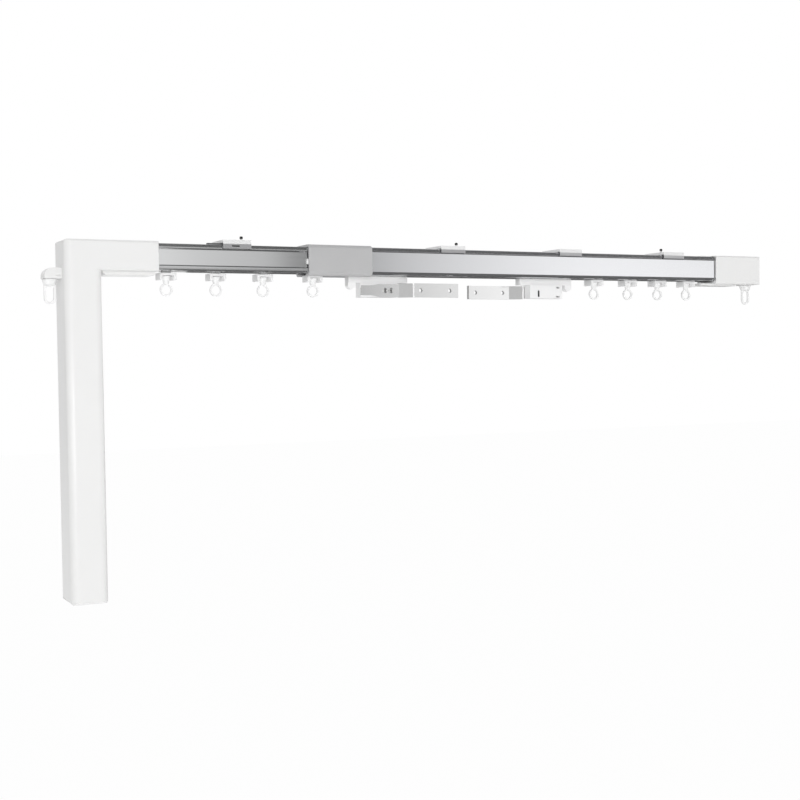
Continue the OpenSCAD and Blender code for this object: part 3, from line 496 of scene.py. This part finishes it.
# The guide pads: two white slips of nylon snapped into the sleeve's mouth, one on each side.
# They keep the inner rail's web from rattling, and their rounded noses stick out of the mouth.
nylon_white = finished(
    "nylon_white", moulded_grain, scale=2200.0, dark=(0.92, 0.92, 0.92), light=(0.95, 0.95, 0.95),
    rough=(0.26, 0.36), bump=0.000008, Coat_Weight=0.15)


def block_form(low, high):
    """A bmesh block between two corners."""
    form = bmesh.new()
    bmesh.ops.create_cube(form, size=1.0)
    middle = (Vector(low) + Vector(high)) / 2
    span = Vector(high) - Vector(low)
    for vert in form.verts:
        vert.co = middle + Vector(a * b for a, b in zip(vert.co, span))
    return form


def joined(forms):
    """One bmesh from several that stand apart."""
    whole = bmesh.new()
    for form in forms:
        loose = bpy.data.meshes.new("loose")
        form.to_mesh(loose)
        form.free()
        whole.from_mesh(loose)
        bpy.data.meshes.remove(loose)
    return whole


pad_nose = 0.0016
pad_tail = 0.008
pad_inner = 0.0138
pad_outer = 0.0150
pad_below = 0.0042
pad_above = 0.0012
sleeve_mouth = corners_of("joint_sleeve")[0].x
web_middle = (inner_low.z + inner_high.z) / 2
pads = []
for side in (-1, 1):
    near, far = sorted((side * pad_inner, side * pad_outer))
    pads.append(block_form(
        (sleeve_mouth - pad_nose, near, web_middle - pad_below),
        (sleeve_mouth + pad_tail, far, web_middle + pad_above)))
guide_pads = soft_edged(placed("sleeve_guide_pads", joined(pads)), edge=0.0005, steps=3)
dressed(guide_pads, nylon_white, "track", "white_runner")

# The casing: a white moulded L that holds the motor below and wraps the rail's end above.
# It closes with a screwed rear cover, a bottom cap and a lip under the box, and the bracket on its
# left side carries a hanging loop.
casing_white = finished(
    "casing_white", moulded_grain, scale=3000.0, dark=(0.86, 0.86, 0.855), light=(0.89, 0.89, 0.885),
    rough=(0.29, 0.34), bump=0.000006, Coat_Weight=0.4, Coat_Roughness=0.2)
for casing_node, casing_name in (
    ("drive_housing", "casing_front"),
    ("rear_cover", "casing_rear_cover"),
    ("bottom_cap", "casing_foot"),
    ("slot_cover", "casing_slot_lip"),
    ("left_end_arm", "left_end_bracket"),
):
    rounded_copy(casing_node, casing_name, casing_white, "white_plastic", edge=0.00025)


# The rear cover's screws: plated pan heads whose cross recess is painted dark as shade, each turned to its
# own angle.
# They thread into the casing's bosses, and their heads sit in the cover's counterbores.
def node_in(tree, kind, links, **settings):
    """Adds a node: settings are its properties, links give its sockets a value or another socket."""
    node = tree.nodes.new(kind)
    for key, value in settings.items():
        setattr(node, key, value)
    for label, source in links.items():
        pins = [s for s in node.inputs if s.enabled and s.name == label]
        if isinstance(source, bpy.types.NodeSocket):
            tree.links.new(source, pins[0])
        elif isinstance(source, list):
            for one in source:
                tree.links.new(one, pins[0])
        else:
            pins[0].default_value = source
    return [s for s in node.outputs if s.enabled]


def shape_tree(name, inputs):
    """An empty Geometry Nodes tree with these named inputs after the geometry that it starts from."""
    tree = bpy.data.node_groups.new(name, "GeometryNodeTree")
    tree.interface.new_socket("Start", in_out="INPUT", socket_type="NodeSocketGeometry")
    for label, kind in inputs:
        tree.interface.new_socket(label, in_out="INPUT", socket_type=kind)
    tree.interface.new_socket("Shape", in_out="OUTPUT", socket_type="NodeSocketGeometry")
    return tree, tree.nodes.new("NodeGroupInput").outputs, tree.nodes.new("NodeGroupOutput").inputs


def grown(name, form, tree, **values):
    """Runs a Geometry Nodes tree on a starting form and keeps the plain mesh."""
    piece = placed(name, form)
    growth = piece.modifiers.new("growth", "NODES")
    growth.node_group = tree
    for item in tree.interface.items_tree:
        key = item.name.replace(" ", "_")
        if item.in_out == "INPUT" and key in values:
            growth[item.identifier] = values[key]
    return applied(piece)


screw_tree, given, made = shape_tree("cross_head_screws", (
    ("Head Radius", "NodeSocketFloat"),
    ("Head Height", "NodeSocketFloat"),
    ("Shank Radius", "NodeSocketFloat"),
    ("Shank Length", "NodeSocketFloat"),
    ("Lie", "NodeSocketVector"),
    ("Seed", "NodeSocketInt"),
    ("Metal", "NodeSocketMaterial"),
))


def scaled(tree, value, factor):
    """A socket's value times a number."""
    node = tree.nodes.new("ShaderNodeMath")
    node.operation = "MULTIPLY"
    tree.links.new(value, node.inputs[0])
    node.inputs[1].default_value = factor
    return node.outputs[0]


def at_height(tree, geometry, height):
    """Lifts a geometry by a socket's value."""
    lift = node_in(tree, "ShaderNodeCombineXYZ", {"Z": height})
    return node_in(tree, "GeometryNodeTransform", {"Geometry": geometry, "Translation": lift[0]})[0]


head_r, head_h = given["Head Radius"], given["Head Height"]
head_sides = 32
dome_steps = ((0.3, 1.0), (0.62, 0.93), (0.84, 0.78), (0.96, 0.5), (1.0, 0.2))
rim_part = dome_steps[0][0]
rim = node_in(screw_tree, "GeometryNodeMeshCone", {
    "Vertices": head_sides, "Radius Bottom": head_r, "Radius Top": head_r,
    "Depth": scaled(screw_tree, head_h, rim_part)})
dome = []
for (low, low_r), (high, high_r) in zip(dome_steps, dome_steps[1:]):
    layer = node_in(screw_tree, "GeometryNodeMeshCone", {
        "Vertices": head_sides, "Radius Bottom": scaled(screw_tree, head_r, low_r),
        "Radius Top": scaled(screw_tree, head_r, high_r), "Depth": scaled(screw_tree, head_h, high - low)})
    dome.append(at_height(screw_tree, layer[0], scaled(screw_tree, head_h, low)))
shank_sides = 24
shank_tip = 0.8
shank_foot = -0.99
shank = node_in(screw_tree, "GeometryNodeMeshCone", {
    "Vertices": shank_sides, "Radius Bottom": scaled(screw_tree, given["Shank Radius"], shank_tip),
    "Radius Top": given["Shank Radius"], "Depth": given["Shank Length"]})
arms = []
arm_long, arm_short = 1.1, 0.3
for long_way, short_way in ((arm_long, arm_short), (arm_short, arm_long)):
    span = node_in(screw_tree, "ShaderNodeCombineXYZ", {
        "X": scaled(screw_tree, head_r, long_way), "Y": scaled(screw_tree, head_r, short_way), "Z": head_h})
    arm = node_in(screw_tree, "GeometryNodeMeshCube", {"Size": span[0]})
    arms.append(at_height(screw_tree, arm[0], head_h))
solid = node_in(screw_tree, "GeometryNodeMeshBoolean", {"Mesh": [
    rim[0],
    *dome,
    at_height(screw_tree, shank[0], scaled(screw_tree, given["Shank Length"], shank_foot)),
]}, operation="UNION", solver="EXACT")
cut = node_in(screw_tree, "GeometryNodeMeshBoolean", {"Mesh 1": solid[0], "Mesh 2": arms},
              operation="DIFFERENCE", solver="EXACT")
quarter_turn = 1.57
spin = node_in(screw_tree, "FunctionNodeRandomValue", {
    "Min": 0.0, "Max": quarter_turn, "Seed": given["Seed"]}, data_type="FLOAT")
twist = node_in(screw_tree, "ShaderNodeCombineXYZ", {"Z": spin[0]})
lain = node_in(screw_tree, "GeometryNodeInstanceOnPoints", {
    "Points": given["Start"], "Instance": cut[0], "Rotation": given["Lie"]})
turned_in = node_in(screw_tree, "GeometryNodeRotateInstances", {
    "Instances": lain[0], "Rotation": twist[0], "Local Space": True})
real = node_in(screw_tree, "GeometryNodeRealizeInstances", {"Geometry": turned_in[0]})
metal = node_in(screw_tree, "GeometryNodeSetMaterial", {"Geometry": real[0], "Material": given["Metal"]})
screw_tree.links.new(metal[0], made["Shape"])


def islands(node):
    """The lowest and highest corner of each separate solid in a CAD node."""
    form = merged_form(node)
    left = set(form.verts)
    boxes = []
    while left:
        edge_of = [left.pop()]
        found = []
        while edge_of:
            vert = edge_of.pop()
            found.append(vert.co.copy())
            for edge in vert.link_edges:
                other = edge.other_vert(vert)
                if other in left:
                    left.remove(other)
                    edge_of.append(other)
        boxes.append([Vector(f(c[i] for c in found) for i in range(3)) for f in (min, max)])
    form.free()
    return sorted(boxes, key=lambda box: tuple(box[0]))


screw_plated = finished(
    "screw_plated", moulded_grain, scale=1800.0, dark=(0.90, 0.90, 0.90), light=(0.96, 0.96, 0.95),
    rough=(0.2, 0.32), bump=0.000003, Metallic=1.0)
# Painted shade for the screws' cross recesses.
recess_dark = finished(
    "recess_dark", moulded_grain, scale=1800.0, dark=(0.05, 0.05, 0.05), light=(0.08, 0.08, 0.08),
    rough=(0.4, 0.55), bump=0.000003)


def screws(node, name, out, head_r, head_h, shank_r, seed):
    """Screws in place of a CAD node's plain ones: out is the side, along Y, that their heads face."""
    recess_reach = 0.6 * head_r
    recess_floor, recess_top = 0.4 * head_h, 0.85 * head_h
    seats = bmesh.new()
    axes = []
    reach = 0
    for low, high in islands(node):
        middle = (low + high) / 2
        reach = high.y - low.y - head_h
        seat = (high.y if out > 0 else low.y) - out * head_h
        seats.verts.new((middle.x, seat, middle.z))
        axes.append((middle.x, seat, middle.z))
    piece = grown(
        name, seats, screw_tree, Head_Radius=head_r, Head_Height=head_h, Shank_Radius=shank_r,
        Shank_Length=reach, Lie=(-out * math.pi / 2, 0.0, 0.0), Seed=seed, Metal=screw_plated)
    dressed(piece, screw_plated, body_of(node), "screw_steel", node)
    piece.data.materials.append(recess_dark)
    # Faces inside each cross recess get the painted shade.
    for face in piece.data.polygons:
        for x, seat, z in axes:
            height = out * (face.center.y - seat)
            from_axis = math.hypot(face.center.x - x, face.center.z - z)
            if from_axis < recess_reach and recess_floor < height < recess_top:
                face.material_index = 1


screws("cover_screws", "cover_screw_set", out=1, head_r=0.00235, head_h=0.0016, shank_r=0.00125, seed=3)

# The power inlet in the casing's foot: a black moulded socket with two flat brass contacts.
# The lead plugs in from below, and the socket is clipped between the casing and its foot.
inlet_black = finished(
    "inlet_black", moulded_grain, scale=2600.0, dark=(0.035, 0.035, 0.036), light=(0.05, 0.05, 0.05),
    rough=(0.45, 0.6), bump=0.00002)
rounded_copy("power_inlet", "power_inlet_socket", inlet_black, "socket_black", edge=0.0002)
contact_brass = finished(
    "contact_brass", drawn_lines, scale=2000.0, dark=(0.62, 0.47, 0.22), light=(0.72, 0.56, 0.28),
    rough=(0.25, 0.35), bump=0.000003, Metallic=1.0)
inlet_low, inlet_high = corners_of("power_inlet")
inlet_middle = (inlet_low + inlet_high) / 2
blade_apart = 0.0028
blade_half_t = 0.0004
blade_half_w = 0.0012
blade_rise = 0.0022
blade_root = 0.0012
blades = []
for side in (-1, 1):
    blade_x = inlet_middle.x + side * blade_apart
    blades.append(block_form(
        (blade_x - blade_half_t, inlet_middle.y - blade_half_w, inlet_low.z + blade_rise),
        (blade_x + blade_half_t, inlet_middle.y + blade_half_w, inlet_high.z - blade_root)))
contacts = soft_edged(placed("inlet_contacts", joined(blades)), edge=0.0002, steps=2)
dressed(contacts, contact_brass, "inner_track", "screw_steel")

# The set button beside the inlet: a pale grey moulded plunger with a softened rim.
# Its flange inside the foot keeps it from falling out.
button_grey = finished(
    "button_grey", moulded_grain, scale=2600.0, dark=(0.66, 0.66, 0.66), light=(0.72, 0.72, 0.72),
    rough=(0.4, 0.5), bump=0.00001)
rounded_copy("set_button", "set_button_plunger", button_grey, "grey_plastic", edge=0.0004, steps=3)

# Inside the casing: a motor in a painted can, an alloy gearbox, the steel shaft and the circuit board.
# They are hidden behind the rear cover, and are seen only when it is taken off. The idler's axle, of
# the same ground steel, stands in the end cap.
can_paint = finished(
    "can_paint", moulded_grain, scale=1500.0, dark=(0.25, 0.27, 0.29), light=(0.31, 0.33, 0.35),
    rough=(0.35, 0.5), bump=0.00001, Metallic=0.3)
gear_alloy = finished(
    "gear_alloy", drawn_lines, scale=1400.0, dark=(0.50, 0.51, 0.53), light=(0.60, 0.61, 0.63),
    rough=(0.32, 0.45), bump=0.00001, Metallic=1.0)
ground_steel = finished(
    "ground_steel", drawn_lines, scale=2400.0, dark=(0.62, 0.62, 0.63), light=(0.72, 0.72, 0.72),
    rough=(0.16, 0.26), bump=0.000003, Metallic=1.0)
board_green = finished(
    "board_green", moulded_grain, scale=900.0, dark=(0.03, 0.20, 0.09), light=(0.05, 0.27, 0.13),
    rough=(0.25, 0.4), bump=0.00001, Coat_Weight=0.4)
for inside_node, inside_name, inside_finish, inside_slot in (
    ("motor_can", "motor_can_shell", can_paint, "motor_steel"),
    ("gearbox", "gearbox_shell", gear_alloy, "gearbox_metal"),
    ("output_shaft", "output_shaft_rod", ground_steel, "screw_steel"),
    ("circuit_board", "circuit_board_slab", board_green, "board"),
    ("idler_axle", "idler_axle_pin", ground_steel, "screw_steel"),
):
    rounded_copy(inside_node, inside_name, inside_finish, inside_slot, edge=0.0002)

# The pulleys: cream acetal, each with two flanges that keep the belt on.
# One is pressed on the motor's shaft, the other turns on the pin in the end cap.
acetal_cream = finished(
    "acetal_cream", moulded_grain, scale=2000.0, dark=(0.80, 0.79, 0.75), light=(0.86, 0.85, 0.81),
    rough=(0.3, 0.42), bump=0.000008)
for pulley_node in ("drive_pulley", "idler_pulley"):
    rounded_copy(pulley_node, pulley_node + "_moulding", acetal_cream, "pulley_plastic", edge=0.0002)

# The belt: a toothed rubber band round both pulleys, whose teeth face inwards.
# It lies in the rails' upper channel, and draws out with them as the rail is lengthened.
belt_rubber = finished(
    "belt_rubber", moulded_grain, scale=1600.0, dark=(0.03, 0.03, 0.03), light=(0.045, 0.045, 0.045),
    rough=(0.6, 0.75), bump=0.00003)
belt_tree, given, made = shape_tree("toothed_belt", (
    ("Thickness", "NodeSocketFloat"),
    ("Height", "NodeSocketFloat"),
    ("Pitch", "NodeSocketFloat"),
    ("Tooth Width", "NodeSocketFloat"),
    ("Tooth Depth", "NodeSocketFloat"),
    ("Rubber", "NodeSocketMaterial"),
))
round_path = node_in(belt_tree, "GeometryNodeMeshToCurve", {"Mesh": given["Start"]})
level_path = node_in(belt_tree, "GeometryNodeSetCurveNormal", {"Curve": round_path[0]}, mode="Z_UP")
section = node_in(belt_tree, "GeometryNodeCurvePrimitiveQuadrilateral", {
    "Width": given["Thickness"], "Height": given["Height"]}, mode="RECTANGLE")
band = node_in(belt_tree, "GeometryNodeCurveToMesh", {
    "Curve": level_path[0], "Profile Curve": section[0], "Fill Caps": True})
spots = node_in(belt_tree, "GeometryNodeResampleCurve", {
    "Curve": level_path[0], "Length": given["Pitch"]}, mode="LENGTH")
tooth_size = node_in(belt_tree, "ShaderNodeCombineXYZ", {
    "X": given["Tooth Width"], "Y": given["Tooth Depth"], "Z": given["Height"]})
tooth = node_in(belt_tree, "GeometryNodeMeshCube", {"Size": tooth_size[0]})
adder = belt_tree.nodes.new("ShaderNodeMath")
adder.operation = "ADD"
belt_tree.links.new(scaled(belt_tree, given["Thickness"], 0.5), adder.inputs[0])
belt_tree.links.new(scaled(belt_tree, given["Tooth Depth"], 0.5), adder.inputs[1])
inward = node_in(belt_tree, "ShaderNodeCombineXYZ", {"Y": adder.outputs[0]})
inner_tooth = node_in(belt_tree, "GeometryNodeTransform", {"Geometry": tooth[0], "Translation": inward[0]})
way = node_in(belt_tree, "GeometryNodeInputTangent", {})
along = node_in(belt_tree, "FunctionNodeAlignRotationToVector", {"Vector": way[0]}, axis="X", pivot_axis="Z")
teeth = node_in(belt_tree, "GeometryNodeInstanceOnPoints", {
    "Points": spots[0], "Instance": inner_tooth[0], "Rotation": along[0]})
real_teeth = node_in(belt_tree, "GeometryNodeRealizeInstances", {"Geometry": teeth[0]})
whole = node_in(belt_tree, "GeometryNodeJoinGeometry", {"Geometry": [band[0], real_teeth[0]]})
rubbered = node_in(belt_tree, "GeometryNodeSetMaterial", {"Geometry": whole[0], "Material": given["Rubber"]})
belt_tree.links.new(rubbered[0], made["Shape"])

belt_low, belt_high = corners_of("drive_belt")
belt_r = (belt_high.y - belt_low.y) / 2
belt_level = (belt_high.z + belt_low.z) / 2
band_t = 0.0009
path_r = belt_r - band_t / 2
route = bmesh.new()
arc_steps = 28
ring = []
for centre_x, first in ((belt_high.x - belt_r, -90), (belt_low.x + belt_r, 90)):
    for step in range(arc_steps + 1):
        angle = math.radians(first + 180 * step / arc_steps)
        ring.append(route.verts.new((
            centre_x + path_r * math.cos(angle), path_r * math.sin(angle), belt_level)))
for here, there in zip(ring, ring[1:] + ring[:1]):
    route.edges.new((here, there))
belt = grown(
    "drive_belt_toothed", route, belt_tree, Thickness=band_t, Height=belt_high.z - belt_low.z,
    Pitch=0.003, Tooth_Width=0.0014, Tooth_Depth=0.0005, Rubber=belt_rubber)
belt.data.name = belt.name
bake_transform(belt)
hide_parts("drive_belt")

# The end cap and its lid: white mouldings over the outer rail's far end, round the idler pulley.
# The lid snaps on from below, and its tongue runs back under the rail.
for cap_node, cap_name in (("end_cap", "end_cap_moulding"), ("end_cap_lid", "end_cap_lid_moulding")):
    rounded_copy(cap_node, cap_name, casing_white, "white_plastic", edge=0.0003)

# A dark ring round the outer rail where it goes into the end cap: painted shade for the gap at the cap's
# mouth.
# It wraps the profile and lies against the cap's mouth.
rail_low, rail_high = corners_of("outer_rail")
shade_band_inset = 0.0223
shade_band_back = rail_high.x - shade_band_inset
shade_band_profile = ((-0.0010, -0.0009), (0.0005, -0.0006), (0.0005, 0.0), (-0.0010, 0.0))
corner_r = 0.0035
corner_steps = 6
shade_band = bmesh.new()
shade_band_loops = []
for proud, seat in shade_band_profile:
    ring = []
    for side, up, first in ((1, 1, 0), (-1, 1, 90), (-1, -1, 180), (1, -1, 270)):
        middle_y = side * (rail_high.y - corner_r)
        middle_z = (rail_high.z if up > 0 else rail_low.z) - up * corner_r
        for step in range(corner_steps + 1):
            angle = math.radians(first + 90 * step / corner_steps)
            ring.append(shade_band.verts.new((
                shade_band_back + seat,
                middle_y + (corner_r + proud) * math.cos(angle),
                middle_z + (corner_r + proud) * math.sin(angle))))
    shade_band_loops.append(ring)
for low, high in zip(shade_band_loops, shade_band_loops[1:] + shade_band_loops[:1]):
    for k in range(len(low)):
        shade_band.faces.new((low[k], high[k], high[(k + 1) % len(high)], low[(k + 1) % len(low)]))
bmesh.ops.recalc_face_normals(shade_band, faces=shade_band.faces)
# Painted shade: the ring's dark colour stands for the shadow in the gap.
seal_rubber = finished(
    "seal_rubber", moulded_grain, scale=1800.0, dark=(0.15, 0.15, 0.15), light=(0.20, 0.20, 0.20),
    rough=(0.5, 0.65), bump=0.00001)
dressed(placed("rail_end_seal", shade_band), seal_rubber, "track", "belt_rubber")

# The lead carriers: white nylon bodies that grip the belt and roll on four wheels in the rail.
# The far one shows two catches moulded into its side.
carrier_edge = 0.0003
rounded_copy("left_carrier", "left_carrier_moulding", nylon_white, "white_runner", edge=carrier_edge)
lead_low = corners_of("right_carrier")[0]
catch_x = lead_low.x + 0.0466
catch_w = 0.0045
catch_front, catch_back = -0.0070, -0.0010
catches = [
    block_form((catch_x, catch_front, lead_low.z + foot), (catch_x + catch_w, catch_back, lead_low.z + head))
    for foot, head in ((0.0112, 0.0130), (0.0012, 0.0028))]
rounded_copy(
    "right_carrier", "right_carrier_moulding", nylon_white, "white_runner", edge=carrier_edge, cuts=catches)
wheel_edge = 0.00015
for side in ("left", "right"):
    for axle in ("a", "b"):
        wheels = "%s_wheels_%s" % (side, axle)
        rounded_copy(wheels, wheels + "_turned", nylon_white, "white_runner", edge=wheel_edge)


# The release pin in the far carrier's side: a black steel dowel with rounded ends.
# It stands upright, pressed into the moulding to half its thickness.
def lathe(points, place, axis, bored=False):
    """A closed turned form: points are (radius, height) from one end to the other on the axis.
    A bored one runs on from its last point to its first, and has no flat ends."""
    form = bmesh.new()
    sides = 24
    stand = Vector((0, 0, 1)).rotation_difference(Vector(axis)).to_matrix()
    rings = []
    turns = [2 * math.pi * k / sides for k in range(sides)]
    for radius, height in points:
        spots = [Vector((radius * math.cos(turn), radius * math.sin(turn), height)) for turn in turns]
        rings.append([form.verts.new(Vector(place) + stand @ spot) for spot in spots])
    for low, high in zip(rings, rings[1:] + (rings[:1] if bored else [])):
        for k in range(sides):
            form.faces.new((low[k], low[(k + 1) % sides], high[(k + 1) % sides], high[k]))
    if not bored:
        form.faces.new(list(reversed(rings[0])))
        form.faces.new(rings[-1])
    bmesh.ops.recalc_face_normals(form, faces=form.faces)
    return form


pin_black = finished(
    "pin_black", moulded_grain, scale=1800.0, dark=(0.025, 0.025, 0.025), light=(0.045, 0.045, 0.045),
    rough=(0.25, 0.4), bump=0.000004, Metallic=0.5)
pin_points = ((0.0006, 0.0), (0.0010, 0.0004), (0.0010, 0.0066), (0.0006, 0.0070))
pin_foot = (lead_low.x + 0.0237, -0.0059, lead_low.z + 0.0018)
release_pin = placed("right_release_pin", lathe(pin_points, pin_foot, (0, 0, 1)))
dressed(release_pin, pin_black, "right_lead", "lever_plastic")

# The runners, their wheels, their rings and the two end loops: mouldings of the same white nylon.
# Each ring and loop is snapped into its holder by a headed stem, and swivels there.
runner_count = 8
for number in range(1, runner_count + 1):
    runner = "runner_%d" % number
    rounded_copy(runner, runner + "_moulding", nylon_white, "white_runner", edge=0.0003)
    rounded_copy(runner + "_wheels", runner + "_wheels_turned", nylon_white, "white_runner", edge=wheel_edge)
    rounded_copy(
        runner + "_ring", runner + "_ring_moulding", nylon_white, "white_runner", edge=0.0006, steps=3)
for side in ("left", "right"):
    rounded_copy(
        side + "_end_loop", side + "_end_loop_moulding", nylon_white, "white_runner", edge=0.0005, steps=3)


# The bent arms: steel strip, sheared and folded, screwed to the carriers' sides.
# The brushing runs along the strip, and the outer side of each fold is matt where the steel stretched.
# Two cross-head screws hold each foot.
def eased_folds(form):
    """Rounds the outer side of a strip's upright folds, which are blunter than its cut edges."""
    blunt, sharp = math.radians(10), math.radians(70)
    upright = 0.99
    folds = []
    for crease in form.edges:
        along = (crease.verts[0].co - crease.verts[1].co).normalized()
        if abs(along.z) > upright and crease.is_convex and blunt < crease.calc_face_angle() < sharp:
            folds.append(crease)
    bmesh.ops.bevel(form, geom=folds, offset=0.0008, segments=4, affect="EDGES", profile=0.5)


arm_brushed = finished(
    "arm_brushed", drawn_lines, scale=3000.0, dark=(0.94, 0.94, 0.94), light=(0.97, 0.97, 0.97),
    rough=(0.15, 0.2), bump=0.000001, Metallic=1.0)
fold_matt = finished(
    "fold_matt", moulded_grain, scale=2000.0, dark=(0.93, 0.93, 0.93), light=(0.96, 0.96, 0.96),
    rough=(0.4, 0.5), bump=0.000002, Metallic=0.2)
least_lean, most_lean = 0.07, 0.8
least_fold, most_fold = 5e-7, 1.2e-5
for side, out, seed in (("left", -1, 5), ("right", 1, 8)):
    strip = rounded_copy(
        side + "_arm", side + "_arm_strip", arm_brushed, "arm_steel", edge=0.0004, steps=3,
        reshape=eased_folds)
    strip.data.materials.append(fold_matt)
    for face in strip.data.polygons:
        leans = abs(face.normal.z) < 0.1 and least_lean < abs(face.normal.x) < most_lean
        if leans and least_fold < face.area < most_fold:
            face.material_index = 1
    screws(
        side + "_arm_screws", side + "_arm_screw_pair", out, head_r=0.0028, head_h=0.0014, shank_r=0.0014,
        seed=seed)

# The arms' threaded collars: the two holes near each arm's end are drawn out at the back of the strip.
# The bores are painted darker than the brushed steel, as shade inside the holes.
# Painted shade for the collars' bores.
collar_steel = finished(
    "collar_steel", moulded_grain, scale=2000.0, dark=(0.36, 0.36, 0.365), light=(0.44, 0.44, 0.445),
    rough=(0.3, 0.42), bump=0.000006, Metallic=1.0)
bore_r, collar_r, collar_h = 0.0019, 0.0024, 0.0021
collar_points = ((bore_r, 0.0), (collar_r, 0.0), (collar_r, collar_h), (bore_r, collar_h))
left_low, left_high = corners_of("left_arm")
right_low, right_high = corners_of("right_arm")
for side, end_x, inward, strip_back, low, high in (
    ("left", left_high.x, -1, -0.0151, left_low, left_high),
    ("right", right_low.x, 1, right_high.y - 0.0001, right_low, right_high),
):
    for letter, from_end in (("a", 0.0100), ("b", 0.0445)):
        foot = (end_x + inward * from_end, strip_back, (low.z + high.z) / 2)
        collar = placed(
            "%s_arm_collar_%s" % (side, letter), lathe(collar_points, foot, (0, 1, 0), bored=True))
        soft_edged(collar, edge=0.0001, steps=2)
        dressed(collar, collar_steel, body_of(side + "_arm"), "arm_steel")

# The ceiling clips: pale coated plates with plated jaws that hook over the rail's top edges.
# Each is one piece of pressed steel, screwed up through its middle hole. Below the plate its end
# faces are painted dark as shade.
clip_coated = finished(
    "clip_coated", moulded_grain, scale=2400.0, dark=(0.80, 0.80, 0.80), light=(0.86, 0.86, 0.86),
    rough=(0.4, 0.5), bump=0.00001)
clip_plated = finished(
    "clip_plated", moulded_grain, scale=2000.0, dark=(0.62, 0.62, 0.63), light=(0.70, 0.70, 0.71),
    rough=(0.3, 0.42), bump=0.000006, Metallic=1.0)
# Painted shade for the clips' end faces below the plate.
sheared_steel = finished(
    "sheared_steel", moulded_grain, scale=2000.0, dark=(0.13, 0.13, 0.135), light=(0.19, 0.19, 0.195),
    rough=(0.4, 0.55), bump=0.000008, Metallic=0.6)
plate_foot = -0.0028
coat_foot = -0.0038
for clip_node, clip_name in (("ceiling_clips", "outer_rail_clips"), ("inner_clip", "inner_rail_clip")):
    clip = rounded_copy(
        clip_node, clip_name, clip_coated, "clip_steel", edge=0.00025, rings=(plate_foot, coat_foot))
    clip.data.materials.append(clip_plated)
    clip.data.materials.append(sheared_steel)
    # End faces below the plate get the painted shade, and the rest below the coat's edge gets the plated
    # finish.
    for face in clip.data.polygons:
        if abs(face.normal.x) > 0.5 and face.center.z < plate_foot:
            face.material_index = 2
        elif face.center.z < coat_foot:
            face.material_index = 1

# The clips' studs: pale steel shanks with black tips.
# They are riveted up through three of the four plates, to one side of the middle.
stud_points = ((0.0011, 0.0), (0.0011, 0.0018), (0.0016, 0.0020), (0.0016, 0.0038), (0.0009, 0.0043))
stud_y = -0.010
stud_sunk = 0.0002
tip_foot = 0.0017
inner_clip_box = islands("inner_clip")[0]
outer_clip_boxes = islands("ceiling_clips")
for stud_name, stud_body, along, (low, high) in (
    ("inner_clip_stud", "inner_track", 0.0065, inner_clip_box),
    ("outer_clip_stud_a", "track", 0.0078, outer_clip_boxes[0]),
    ("outer_clip_stud_b", "track", -0.0126, outer_clip_boxes[-1]),
):
    middle = (low + high) / 2
    stud_foot = (middle.x + along, stud_y, high.z - stud_sunk)
    stud = placed(stud_name, lathe(stud_points, stud_foot, (0, 0, 1)))
    dressed(stud, clip_coated, stud_body, "clip_steel")
    stud.data.materials.append(pin_black)
    for face in stud.data.polygons:
        if face.center.z > high.z + tip_foot:
            face.material_index = 1

# The locking lever on the first clip: a dark grey moulded wedge that turns under the plate.
# A short black tab at the plate's front edge stays with the clip.
lever_grey = finished(
    "lever_grey", moulded_grain, scale=2200.0, dark=(0.10, 0.10, 0.105), light=(0.14, 0.14, 0.145),
    rough=(0.45, 0.6), bump=0.00002)
rounded_copy("clip_lever", "clip_lever_wedge", lever_grey, "lever_plastic", edge=0.0004, steps=3)
clip_low, clip_high = inner_clip_box
tab_x = (clip_low.x + clip_high.x) / 2 - 0.0015
tab_half_w = 0.004
tab_out, tab_in = 0.0006, 0.0004
tab_low, tab_high = 0.0021, 0.0034
tab = placed("clip_lever_tab", block_form(
    (tab_x - tab_half_w, clip_low.y - tab_out, clip_low.z + tab_low),
    (tab_x + tab_half_w, clip_low.y + tab_in, clip_low.z + tab_high)))
dressed(soft_edged(tab, edge=0.0005, steps=3), pin_black, "inner_track", "lever_plastic")
